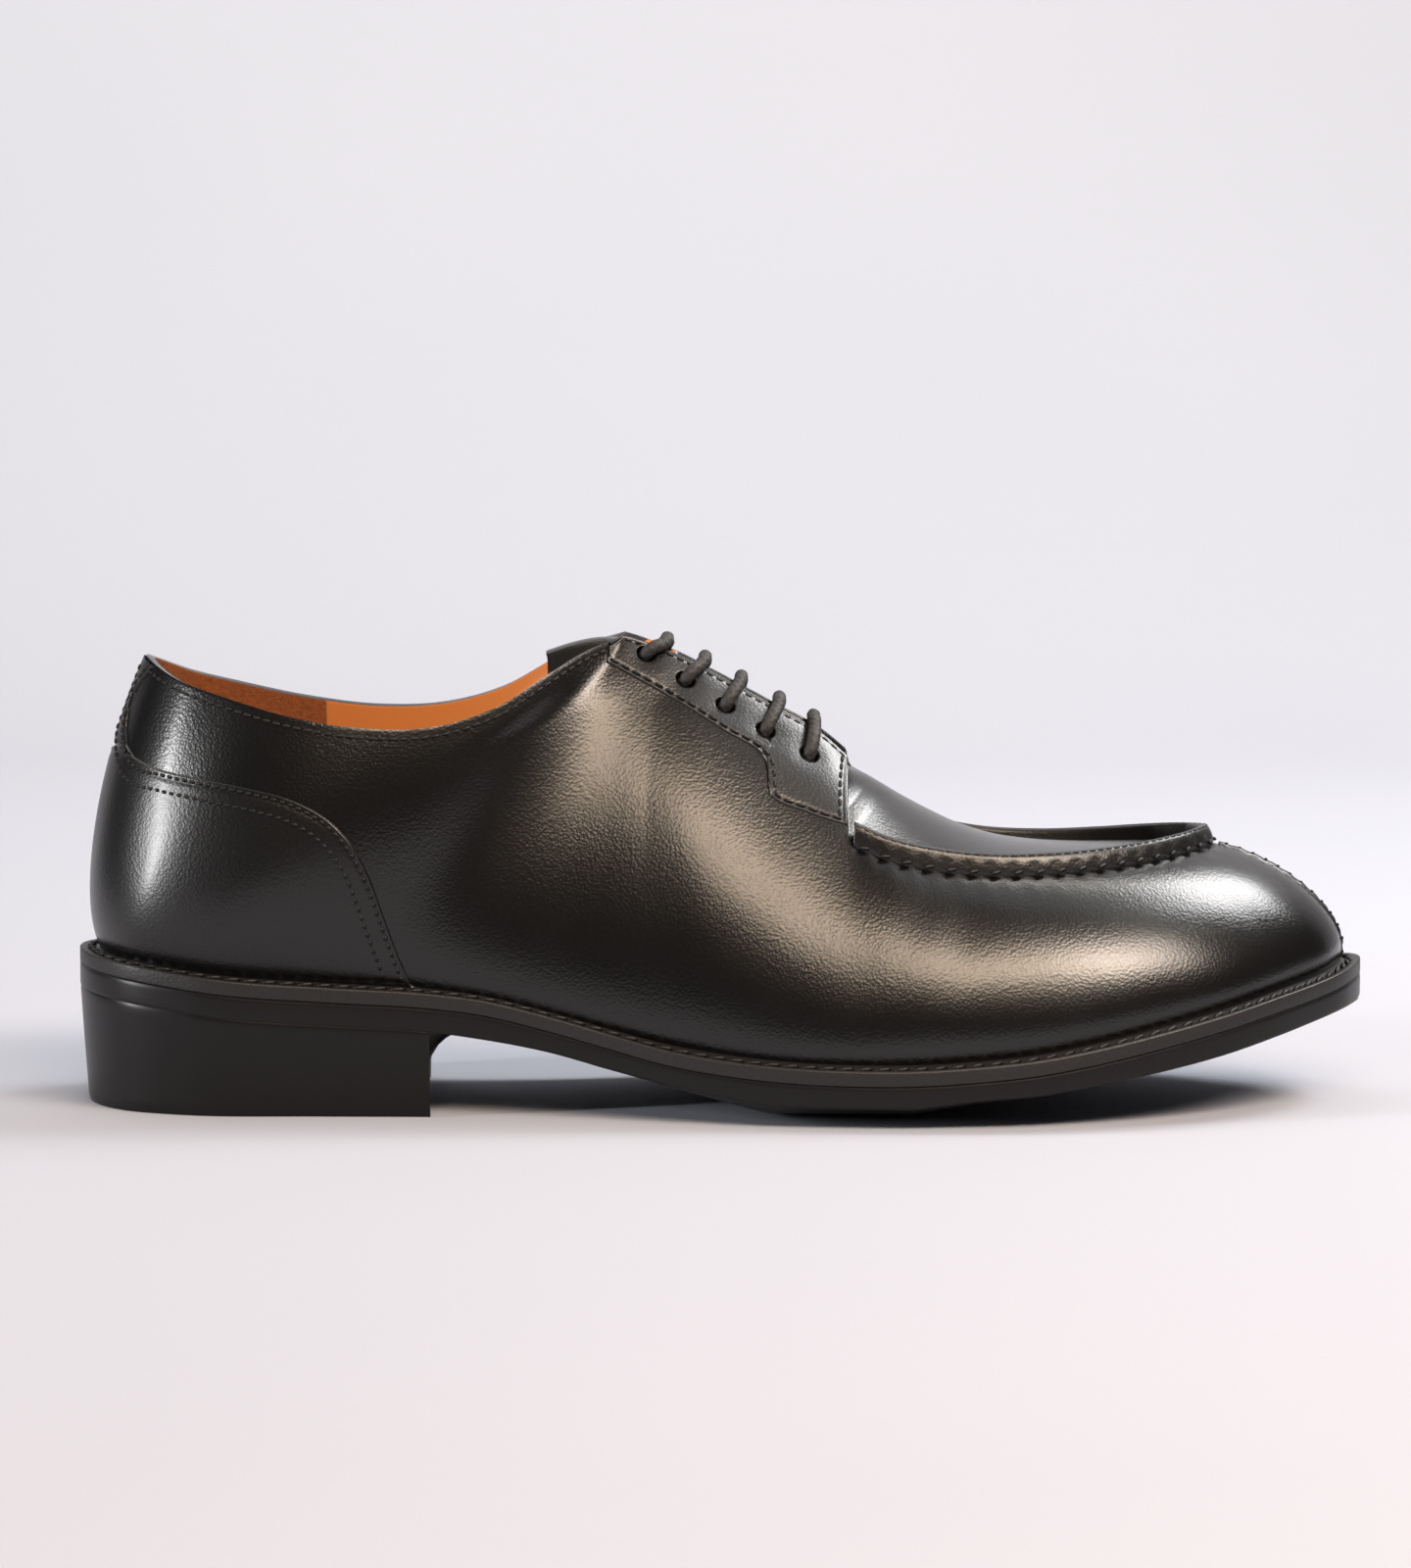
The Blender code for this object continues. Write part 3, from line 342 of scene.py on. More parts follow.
def smooth(keys, values, at):
    """Read a smooth curve through rows of values, one row for each key."""
    keys = np.asarray(keys, float)
    values = np.asarray(values, float).reshape(len(keys), -1)
    step = np.diff(keys)[:, None]
    slope = np.diff(values, axis=0) / step
    tangent = np.vstack((slope[:1], slope[-1:] if len(keys) == 2 else slope[:-1], slope[-1:]))
    tangent = tangent[:len(keys)]
    if len(keys) > 2:
        tangent[1:-1] = (slope[:-1] * step[1:] + slope[1:] * step[:-1]) / (step[:-1] + step[1:])
        tangent[-1] = slope[-1]
    at = np.asarray(at, float)
    row = np.clip(np.searchsorted(keys, at, side="right") - 1, 0, len(step) - 1)
    width = step[row]
    t = (at - keys[row])[..., None] / width
    start = (1 + 2 * t) * (1 - t) ** 2 * values[row] + t * (1 - t) ** 2 * width * tangent[row]
    end = t * t * (3 - 2 * t) * values[row + 1] + t * t * (t - 1) * width * tangent[row + 1]
    return start + end


def lengths(points):
    """Distance along a row of points, from 0 to 1."""
    steps = np.linalg.norm(np.diff(points, axis=0), axis=1)
    along = np.concatenate(([0.0], np.cumsum(steps)))
    return along / along[-1]


def column(table, number):
    """One column of a table."""
    return np.array([row[number] for row in table])


def both_sides(table, heights=True):
    """Points and keys of a mirrored table: keys below 0 are the inner side, 0 is its first row."""
    z_outer = column(table, 3) if heights else np.zeros(len(table))
    z_inner = column(table, 4) if heights else np.zeros(len(table))
    outer = np.column_stack((column(table, 0), column(table, 1), z_outer))
    inner = np.column_stack((column(table, 0), column(table, 2), z_inner))
    keys = np.concatenate((-lengths(inner)[::-1], lengths(outer)[1:]))
    return keys, np.vstack((inner[::-1], outer[1:]))


OUTLINE_KEYS, OUTLINE_POINTS = both_sides(OUTLINE, heights=False)


def wrap(s):
    """Bring s between -1 and 1."""
    return (np.asarray(s, float) + 1.0) % 2.0 - 1.0


def outline_xy(s):
    """Edge of the sole at s, as x and y."""
    keys = np.concatenate((OUTLINE_KEYS[-4:-1] - 2.0, OUTLINE_KEYS, OUTLINE_KEYS[1:4] + 2.0))
    points = np.vstack((OUTLINE_POINTS[-4:-1], OUTLINE_POINTS, OUTLINE_POINTS[1:4]))
    return smooth(keys, points, wrap(s))[..., :2]


def outward(s):
    """Horizontal direction out of the outline at s."""
    small = 0.004
    along = outline_xy(s + small) - outline_xy(s - small)
    return unit(np.stack((along[..., 1], -along[..., 0], np.zeros_like(along[..., 0])), axis=-1))


def inset_xy(s, inset):
    inset = np.asarray(inset, float)[..., None]
    return outline_xy(s) - outward(s)[..., :2] * inset


outline_samples = outline_xy(np.linspace(-1.0, 1.0, 400))
ORIGIN = np.array((*(outline_samples.min(axis=0) + outline_samples.max(axis=0)) / 2, 0.0))


def welt_top(x):
    return smooth(column(SOLE, 0), column(SOLE, 1), x)[..., 0]


def sole_top(x):
    return welt_top(x) - WELT_THICKNESS - GAP


def sole_bottom(x, across):
    """Underside of the sole; across is 0 at the middle and 1 at the edge."""
    middle = np.maximum(smooth(column(SOLE, 0), column(SOLE, 2), x)[..., 0], 0.0)
    lift = smooth(column(SOLE, 0), column(SOLE, 3), x)[..., 0]
    rounding = np.clip((np.abs(across) - FLAT_SHARE) / (1.0 - FLAT_SHARE), 0.0, 1.0) ** 2
    return middle + lift * rounding


OUTLINE_LENGTH = np.linalg.norm(np.diff(outline_xy(np.linspace(0.0, 1.0, 200)), axis=0), axis=1).sum()


def s_at_x(x):
    """s on the outer side where the outline has this x."""
    samples = np.linspace(0.0, 1.0, 400)
    return np.interp(x, outline_xy(samples)[:, 0], samples)


S_THROAT = s_at_x(THROAT_RIB_X)
S_FRONT = s_at_x(FRONT_RIB_X)


def eased(share, at_start, at_end):
    """A share from 0 to 1 that runs slowly beside the corners at its start and its end."""
    keys = np.linspace(0.0, 1.0, 201)
    speed = np.ones_like(keys)
    if at_start:
        speed = np.minimum(speed, CORNER_SPEED + (1 - CORNER_SPEED) * keys / CORNER_SPAN)
    if at_end:
        speed = np.minimum(speed, CORNER_SPEED + (1 - CORNER_SPEED) * (1 - keys) / CORNER_SPAN)
    run = np.concatenate(([0.0], np.cumsum((speed[1:] + speed[:-1]) / 2)))
    return np.interp(np.clip(share, 0.0, 1.0), keys, run / run[-1])


def quarter_edge(s):
    """Upper edge of the quarters: the collar, then the facing up to its front corner."""
    size = np.abs(s)
    collar_keys, collar_points = both_sides(COLLAR)
    collar = smooth(collar_keys, collar_points, np.sign(s) * eased(size / S_THROAT, False, True))
    on_facing = eased((size - S_THROAT) / (S_FRONT - S_THROAT), True, False)
    outer = np.array([(row[0], row[1], row[3]) for row in FACING])
    inner = np.array([(row[0], row[2], row[4]) for row in FACING])
    facing = np.where((s < 0)[..., None], smooth(lengths(inner), inner, on_facing),
                      smooth(lengths(outer), outer, on_facing))
    return np.where(size[..., None] <= S_THROAT, collar, facing)


def handles(s, outer, inner):
    """The four handle lengths of a rib, from the table of its side."""
    size = np.abs(s)
    on_outer = smooth(s_at_x(column(outer, 0)), np.array(outer)[:, 1:], size)
    on_inner = smooth(s_at_x(column(inner, 0)), np.array(inner)[:, 1:], size)
    return np.where((s < 0)[..., None], on_inner, on_outer)


def feather(s):
    """Where a rib starts, just over the welt."""
    xy = inset_xy(s, FEATHER_INSET)
    z = welt_top(xy[..., 0]) + WELT_RISE + GAP
    return np.concatenate((xy, z[..., None]), axis=-1)


def bezier(first, second, third, fourth, t):
    """Point at t on a curve with two end points and two handles."""
    return ((1 - t) ** 3 * first + 3 * t * (1 - t) ** 2 * second
            + 3 * t * t * (1 - t) * third + t ** 3 * fourth)


def rib(s, v, end, reach):
    """Point on a rib from the welt to an end point, with its four handle lengths."""
    start = feather(s)
    out = outward(s)
    up = np.array((0.0, 0.0, 1.0))
    lower = start + out * reach[..., 0:1] + up * reach[..., 1:2]
    upper = end + out * reach[..., 2:3] + up * reach[..., 3:4]
    return bezier(start, lower, upper, end, v[..., None])


def quarter(s, v):
    """Outer face of the quarters, from the welt to the collar and facings."""
    return rib(s, v, quarter_edge(s), handles(s, QUARTER_OUTER, QUARTER_INNER))


SEAM_CORNERS = quarter(np.array((S_FRONT, -S_FRONT)), np.array((SEAM_START, SEAM_START)))


def seam_line(s):
    """Seam of the apron, from the front rib of one side round the tip to the other."""
    outer, inner = SEAM_CORNERS
    start = (outer[0], outer[1], inner[1], outer[2], inner[2])
    keys, points = both_sides(SEAM[::-1] + (start,))
    share = (1.0 - np.abs(s)) / (1.0 - S_FRONT)
    return smooth(keys, points, np.sign(s) * share)


def bare_skin(s, v):
    """Outer face of the upper at s and v, as its ribs give it."""
    s, v = np.broadcast_arrays(wrap(s), np.asarray(v, float))
    rear = np.sign(s + TOLERANCE) * np.minimum(np.abs(s), S_FRONT)
    ahead = np.sign(s + TOLERANCE) * np.maximum(np.abs(s), S_FRONT)
    panel = rib(ahead, v, seam_line(ahead), handles(ahead, PANEL_OUTER, PANEL_INNER))
    return np.where((np.abs(s) < S_FRONT + TOLERANCE)[..., None], quarter(rear, v), panel)


def skin(s, v):
    """Outer face of the upper at s and v, with the fan of ribs at the throat evened out."""
    s, v = np.broadcast_arrays(np.asarray(s, float), np.asarray(v, float))
    size = np.abs(wrap(s))
    near = np.exp(-((size - S_THROAT) / SOFT_ZONE) ** 4)
    share = np.clip((1.0 - v) / SOFT_BELOW, 0.0, 1.0)
    room = np.maximum(S_FRONT - size, 0.0)
    reach = np.minimum(SOFT_REACH * near * share * share * (3 - 2 * share), room * 0.7)
    result = bare_skin(s, v)
    soft = reach > 0.001
    at, up, step = s[soft], v[soft], reach[soft]
    total = result[soft] * 2.0
    for share, weight in ((0.33, 1.7), (0.67, 1.1), (1.0, 0.5)):
        total = total + weight * (bare_skin(at + share * step, up) + bare_skin(at - share * step, up))
    result[soft] = total / 8.6
    return result


def skin_normal(s, v):
    """Outward direction of the skin."""
    s, v = np.broadcast_arrays(np.asarray(s, float), np.asarray(v, float))
    small = 0.004
    v = np.minimum(v, 0.96)
    ahead = np.where(np.abs(np.abs(s) - S_FRONT) < small, 0.0, small)
    around = skin(s + ahead, v) - skin(s - ahead, v)
    aside = np.sign(s) * small
    around = np.where(ahead[..., None] > 0, around, (skin(s, v) - skin(s - aside, v)) * np.sign(s)[..., None])
    rise = skin(s, v + small) - skin(s, np.maximum(v - small, 0.0))
    return unit(np.cross(around, rise))


def raised(s, v, height):
    """Points at a height in mm over the skin."""
    return skin(s, v) + skin_normal(s, v) * np.asarray(height, float)[..., None]


def plug_edge(w, side):
    """Edge of the plug. w from -1 to 0 runs down under the front edge of a quarter, and from
    0 to 1 along the apron's seam to its tip; side is 1 for the outer side, -1 for the inner."""
    w = np.asarray(w, float)
    on_seam = seam_line(side * (S_FRONT + np.maximum(w, 0.0) * (1.0 - S_FRONT)))
    under = np.maximum(-w, 0.0)
    v = SEAM_START + under * (1.0 - SEAM_START)
    place = np.full(w.shape, side * S_FRONT)
    drop = np.minimum(under * 2.5, 1.0)[..., None]
    stepped = quarter(place, v) - skin_normal(place, v) * STEP_HEIGHT * drop
    stepped[..., 0] += STEP_FORWARD * drop[..., 0]
    return np.where((w < 0)[..., None], stepped, on_seam)


def plug(w, across):
    """Outer face of the plug; across is 0 on its outer edge and 1 on its inner edge."""
    w, across = np.broadcast_arrays(np.asarray(w, float), np.asarray(across, float))
    first = plug_edge(w, 1)
    last = plug_edge(w, -1)
    start_x = SEAM_CORNERS[:, 0].mean()
    middle_x = (first[..., 0] + last[..., 0]) / 2
    reach = (RIDGE[-1][0] - RIDGE_AT_SEAM_START) / (RIDGE[-1][0] - start_x)
    forward = RIDGE_AT_SEAM_START + (middle_x - start_x) * reach
    backward = RIDGE_AT_SEAM_START + (RIDGE_AT_SEAM_START - RIDGE[0][0]) * w
    ridge = smooth(column(RIDGE, 0), np.array(RIDGE), np.where(w < 0, backward, forward))
    middle = (8.0 * ridge - first - last) / 6.0
    spread = (first - last) * 0.19
    across = across[..., None]
    return bezier(first, middle + spread, middle - spread, last, across)


def instep(s, across):
    """The skin's line over the instep at a facing rib: -1 and 1 lie down the sides, 0 is the top."""
    s, across = np.broadcast_arrays(np.asarray(s, float), np.asarray(across, float))
    outer = skin(s, 1.0)
    inner = skin(-s, 1.0)
    outer_rise = unit(outer - skin(s, 0.97))
    inner_rise = unit(inner - skin(-s, 0.97))
    share = np.clip((across + THROAT_SHARE) / (2 * THROAT_SHARE), 0.0, 1.0)[..., None]
    bridge = bezier(outer, outer + outer_rise * 3.0, inner + inner_rise * 3.0, inner, share)
    beside = np.clip((np.abs(across) - THROAT_SHARE) / (1 - THROAT_SHARE), 0.0, 1.0)
    v = 1.0 - beside * TONGUE_REACH
    side = np.where((across < 0)[..., None], skin(s, v), skin(-s, v))
    return np.where(np.abs(across)[..., None] > THROAT_SHARE, side, bridge)


class Solid:
    """Vertices and faces of one closed body."""

    def __init__(self):
        self.points = []
        self.faces = []

    def add(self, points):
        """Add a grid or row of points, and give their numbers in the same layout."""
        points = np.asarray(points, float)
        first = len(self.points)
        self.points.extend(points.reshape(-1, 3).tolist())
        return np.arange(first, len(self.points)).reshape(points.shape[:-1])

    def quads(self, numbers, closed=False):
        """Fill a grid of numbers; closed joins its last row to its first."""
        rows = len(numbers) if closed else len(numbers) - 1
        for i in range(rows):
            here = numbers[i]
            there = numbers[(i + 1) % len(numbers)]
            for j in range(len(here) - 1):
                corners = [here[j], there[j], there[j + 1], here[j + 1]]
                kept = [n for k, n in enumerate(corners) if n != corners[k - 1]]
                if len(kept) > 2:
                    self.faces.append(kept)

    def orient(self):
        """Turn every face of a sheet the way its first face looks."""
        owners = {}
        for number, face in enumerate(self.faces):
            for k, corner in enumerate(face):
                owners.setdefault(frozenset((face[k - 1], corner)), []).append(number)
        waiting = [0]
        done = {0}
        while waiting:
            number = waiting.pop()
            face = self.faces[number]
            ways = {(face[k - 1], corner) for k, corner in enumerate(face)}
            for k, corner in enumerate(face):
                for other in owners[frozenset((face[k - 1], corner))]:
                    if other in done:
                        continue
                    there = self.faces[other]
                    if any((there[j - 1], end) in ways for j, end in enumerate(there)):
                        self.faces[other] = there[::-1]
                    done.add(other)
                    waiting.append(other)


def thicken(sheet, lower, upper):
    """Closed body between two offsets of a sheet."""
    points = np.array(sheet.points)
    normals = np.zeros_like(points)
    edges = {}
    for face in sheet.faces:
        corners = points[face]
        turn = np.cross(corners[1] - corners[0], corners[2] - corners[0])
        if len(face) == 4:
            turn = np.cross(corners[2] - corners[0], corners[3] - corners[1])
        normals[face] += turn
        for k, number in enumerate(face):
            edges[(face[k - 1], number)] = True
    normals = unit(normals)
    body = Solid()
    count = len(points)
    body.add(points + normals * upper)
    body.add(points + normals * lower)
    body.faces = [list(face) for face in sheet.faces]
    body.faces += [[n + count for n in reversed(face)] for face in sheet.faces]
    body.faces += [[b, a, a + count, b + count] for a, b in edges if (b, a) not in edges]
    return body


def along_row(points):
    """Distance from the start of a row of points, in mm."""
    steps = np.linalg.norm(np.diff(points, axis=0), axis=1)
    return np.concatenate(([0.0], np.cumsum(steps)))


def ramp(x):
    """Smooth step from 0 to 1."""
    x = np.clip(x, 0.0, 1.0)
    return x * x * (3 - 2 * x)


def place_at(side, x, z):
    """s and v of the points on one side of the upper that have these x and z."""
    x, z = np.broadcast_arrays(np.asarray(x, float), np.asarray(z, float))
    s = side * s_at_x(x * 0.92 + 10.0)
    v = np.full(x.shape, 0.8)
    small = 1e-4
    for _ in range(30):
        here = skin(s, v)
        by_s = (skin(s + small, v) - here) / small
        by_v = (skin(s, v + small) - here) / small
        miss_x = x - here[..., 0]
        miss_z = z - here[..., 2]
        scale = by_s[..., 0] * by_v[..., 2] - by_v[..., 0] * by_s[..., 2]
        s = s + 0.6 * (miss_x * by_v[..., 2] - miss_z * by_v[..., 0]) / scale
        v = np.clip(v + 0.6 * (miss_z * by_s[..., 0] - miss_x * by_s[..., 2]) / scale, 0.0, 1.0)
        s = side * np.clip(side * s, 0.001, S_FRONT)
    return s, v


def moved(s, v, offset):
    """s and v after a step in mm along the skin; offset is a row of directions."""
    for _ in range(2):
        small = 1e-4
        here = skin(s, v)
        by_s = (skin(s + small, v) - here) / small
        by_v = (skin(s, v - small) - here) / -small
        a = np.sum(by_s * by_s, axis=-1)
        b = np.sum(by_s * by_v, axis=-1)
        c = np.sum(by_v * by_v, axis=-1)
        first = np.sum(by_s * offset, axis=-1) / 2
        second = np.sum(by_v * offset, axis=-1) / 2
        scale = a * c - b * b
        s = s + (c * first - b * second) / scale
        v = v + (a * second - b * first) / scale
    return s, v


def beside(s, v, distance):
    """A path on the skin moved sideways by a distance in mm, to its left seen from outside."""
    points = skin(s, v)
    tangent = unit(np.gradient(points, axis=0))
    return moved(s, v, np.cross(skin_normal(s, v), tangent) * distance)


EYELET_PLACES = [
    [np.array(place_at(side, x, z)) for side, x in ((1, outer_x), (-1, inner_x))]
    for outer_x, inner_x, z in EYELETS
]
EYELET_POINTS = np.array([skin(*place) for pair in EYELET_PLACES for place in pair])
SEAM_S = np.linspace(S_FRONT, 1.0, 200)
SEAM_RUN = {side: along_row(seam_line(side * SEAM_S)) for side in (1, -1)}


def seam_run(s):
    """Distance along the apron's seam from its start, in mm."""
    size = np.abs(s)
    return np.where(s > 0, np.interp(size, SEAM_S, SEAM_RUN[1]), np.interp(size, SEAM_S, SEAM_RUN[-1]))


def pits(points, radius, depth):
    """Height of the eyelet holes, and of the dimple that each lace presses round its hole."""
    height = np.zeros(points.shape[:-1])
    for centre in EYELET_POINTS:
        away = np.linalg.norm(points - centre, axis=-1)
        height -= depth * ramp((radius - away) / 0.7 + 0.5)
        height -= DIMPLE * np.exp(-(away / 4.2) ** 2)
    return height


def creases(points):
    """Shallow creases where the forefoot bends, on both sides."""
    height = np.zeros(points.shape[:-1])
    for x, z, slant, reach, width, depth in CREASES:
        along = (points[..., 0] - x) * slant + (points[..., 2] - z)
        across = (points[..., 0] - x) - (points[..., 2] - z) * slant
        height -= depth * np.exp(-(across / width) ** 2) * np.exp(-(along / reach) ** 4)
    return height


def relief(s, v):
    """Height of the upper's own relief at s and v, in mm."""
    points = skin(s, v)
    below = (1.0 - v) * np.linalg.norm(skin(s, 1.0) - points, axis=-1) / np.maximum(1.0 - v, 1e-6)
    ahead = np.abs(s) >= S_FRONT - TOLERANCE
    wave = np.cos(2 * np.pi * seam_run(s) / HAND_STITCH_PITCH)
    pucker = np.exp(-(below / 3.2) ** 2) * (PUCKER * wave - 0.25) + 0.05 * np.exp(-(below / 7.0) ** 2) * wave
    return np.where(ahead, pucker, 0.0) + pits(points, 2.5, 2.6) + creases(points)


def object_from(name, solid, materials, nodes=(), finish=None, bevel=0.0):
    """A shown piece made from a solid or sheet in millimetres."""
    points = (np.asarray(solid.points) - ORIGIN) * MM
    mesh = bpy.data.meshes.new(name)
    mesh.from_pydata(points.tolist(), [], solid.faces)
    mesh.polygons.foreach_set("use_smooth", np.ones(len(solid.faces), bool))
    for material in materials:
        mesh.materials.append(material)
    if finish is not None:
        mesh.polygons.foreach_set("material_index", np.asarray(finish, np.int32))
    mesh.update()
    made = bpy.data.objects.new(name, mesh)
    bpy.context.scene.collection.objects.link(made)
    if bevel:
        rounding = made.modifiers.new("rounding", "BEVEL")
        rounding.width = bevel * MM
        rounding.segments = 3
        rounding.limit_method = "ANGLE"
        rounding.angle_limit = math.radians(50)
    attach(made, "root")
    if nodes:
        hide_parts(*nodes)
    return made


def capsules(centres, tangents, normals, length, width, height, tilt=0.0):
    """A body of stitches: one rounded grain for each centre, tilted in the skin's plane."""
    body = Solid()
    side = np.cross(normals, tangents)
    turn = math.radians(tilt)
    run = tangents * math.cos(turn) + side * math.sin(turn)
    side = np.cross(normals, run)
    angle = np.linspace(0.0, 2 * np.pi, 9)[:-1]
    lift = np.linspace(-1.0, 1.0, 7)
    for centre, first, second, third in zip(centres, run, side, normals):
        rings = []
        for share in lift:
            round_off = math.sqrt(max(1.0 - abs(share) ** 3.0, 0.02))
            circle = (centre + first * share * length / 2
                      + np.cos(angle)[:, None] * second * width / 2 * round_off
                      + np.sin(angle)[:, None] * third * height / 2 * round_off)
            rings.append(body.add(circle))
        grid = np.array(rings)
        body.quads(np.concatenate((grid, grid[:, :1]), axis=1))
        body.faces.append(list(grid[0]))
        body.faces.append(list(grid[-1][::-1]))
    return body


def spaced(points, normals, pitch):
    """Even places along a row of points: centres, tangents and normals."""
    run = along_row(points)
    count = max(int(run[-1] / pitch), 1)
    at = (np.arange(count) + 0.5) * run[-1] / count
    centres = np.column_stack([np.interp(at, run, points[:, k]) for k in range(3)])
    upright = np.column_stack([np.interp(at, run, normals[:, k]) for k in range(3)])
    tangent = unit(np.gradient(points, axis=0))
    along = np.column_stack([np.interp(at, run, tangent[:, k]) for k in range(3)])
    return centres, unit(along), unit(upright)


def joined(solids):
    """One body with the faces of many."""
    body = Solid()
    for solid in solids:
        first = len(body.points)
        body.points.extend(np.asarray(solid.points).tolist())
        body.faces.extend([[int(n) + first for n in face] for face in solid.faces])
    return body


def stitch_row(path, upright, stitch, tilt=0.0):
    """Stitches along a path; a stitch is its pitch, length, width and thickness."""
    pitch, length, width, thickness = stitch
    return capsules(*spaced(path, upright, pitch), length, width, thickness, tilt)


def seam_stitches(s, v, height, stitch):
    """Stitches along a path on the skin."""
    return stitch_row(raised(s, v, np.full(len(s), height)), skin_normal(s, v), stitch)


def patch(s, low, high, rows, drop_last=False):
    """Overlay sheet over the skin, with edges that turn down into it. Also gives its height."""
    span = np.linalg.norm(skin(s, high) - skin(s, low), axis=-1)
    near = np.array((0.0, 0.18, 0.36, 0.54, 0.72, 1.0, 1.5, 2.1))
    middle = np.linspace(0.0, 1.0, rows)[1:-1]
    shares = []
    for length in np.maximum(span, 0.5):
        edge = np.minimum(near / length, 0.3 * near / near[-1])
        first, last = edge[-1], 1.0 - edge[-1]
        shares.append(np.concatenate((edge, first + (last - first) * middle, 1.0 - edge[::-1])))
    share = np.array(shares)
    v = low[:, None] * (1 - share) + high[:, None] * share
    places = np.broadcast_to(s[:, None], v.shape)
    points = skin(places, v)
    column_run = along_row(points[:, points.shape[1] // 2])
    away = np.minimum(share, 1 - share) * span[:, None]
    if drop_last:
        away = np.minimum(away, (column_run[-1] - column_run)[:, None])
    height = (OVERLAY_RISE + OVERLAY_SINK) * ramp(away / 0.62) - OVERLAY_SINK
    height -= 0.16 * np.exp(-((away - STITCH_INSET) / 0.5) ** 2)
    return places, v, height


def crossing(s, table, from_top):
    """v where each rib crosses an edge that is given in side view."""
    v = np.linspace(0.0, 1.0, 101)
    points = skin(s[:, None], v)
    over = points[..., 2] - np.interp(points[..., 0], column(table, 0), column(table, 1))
    result = []
    for gap in over:
        hits = np.nonzero(gap <= 0)[0] if from_top else np.nonzero(gap > 0)[0]
        if not len(hits):
            result.append(0.0 if from_top else 1.0)
            continue
        first = hits[-1] if from_top else hits[0] - 1
        if first < 0 or first + 1 >= len(v):
            result.append(v[max(first, 0)])
            continue
        result.append(v[first] + (v[first + 1] - v[first]) * gap[first] / (gap[first] - gap[first + 1]))
    return np.array(result)


def sheet_from(grid_points):
    """A sheet over one grid of points."""
    body = Solid()
    body.quads(body.add(grid_points))
    return body


def rounded(table, count):
    """Many points on a smooth curve through a short side-view table."""
    points = np.array(table)[:, :2]
    keys = lengths(points)
    return smooth(keys, points, np.linspace(0.0, 1.0, count))


def linear(colour):
    """Scene colour of an sRGB hex code."""
    parts = [int(colour[k:k + 2], 16) / 255 for k in (1, 3, 5)]
    return [c / 12.92 if c <= 0.04045 else ((c + 0.055) / 1.055) ** 2.4 for c in parts] + [1.0]


def node(tree, kind, **values):
    """Add a shader node; a value is a constant, or an output socket that it is linked to."""
    made = tree.nodes.new(kind)
    for key, value in values.items():
        if hasattr(made, key):
            setattr(made, key, value)
            continue
        socket = made.inputs[int(key[1:])] if key[1:].isdigit() else made.inputs[key.replace("_", " ")]
        if isinstance(value, bpy.types.NodeSocket):
            tree.links.new(value, socket)
        else:
            socket.default_value = value
    return made


def plain(name):
    """A new material with only its Principled shader, and its tree."""
    material = bpy.data.materials.new(name)
    material.use_nodes = True
    return material, material.node_tree, material.node_tree.nodes["Principled BSDF"]


def calf(name, colour="#090808", roughness=0.25, grain=1.0, coat=0.22):
    """Polished box calf: near black, with a fine pebbled grain that breaks up its highlights."""
    material, tree, shader = plain(name)
    place = node(tree, "ShaderNodeTexCoord").outputs["Object"]
    cells = node(tree, "ShaderNodeTexVoronoi", feature="F1", Vector=place, Scale=1 / (GRAIN_SIZE * MM))
    fibres = node(tree, "ShaderNodeTexNoise", Vector=place, Scale=1 / (FIBRE_SIZE * MM), Detail=4.0)
    unevenness = node(tree, "ShaderNodeTexNoise", Vector=place, Scale=1 / (28 * MM), Detail=2.0)
    tone = node(tree, "ShaderNodeMapRange", Value=unevenness.outputs["Fac"], To_Min=roughness - 0.05,
                To_Max=roughness + 0.06)
    coarse = node(tree, "ShaderNodeBump", Height=fibres.outputs["Fac"], Strength=0.24 * grain,
                  Distance=0.14 * MM)
    fine = node(tree, "ShaderNodeBump", Height=cells.outputs["Distance"], Strength=0.36 * grain,
                Distance=0.12 * MM, Normal=coarse.outputs["Normal"])
    shader.inputs["Base Color"].default_value = linear(colour)
    shader.inputs["Specular IOR Level"].default_value = 0.4
    shader.inputs["Coat Weight"].default_value = coat
    shader.inputs["Coat Roughness"].default_value = 0.22
    tree.links.new(tone.outputs["Result"], shader.inputs["Roughness"])
    tree.links.new(fine.outputs["Normal"], shader.inputs["Normal"])
    return material


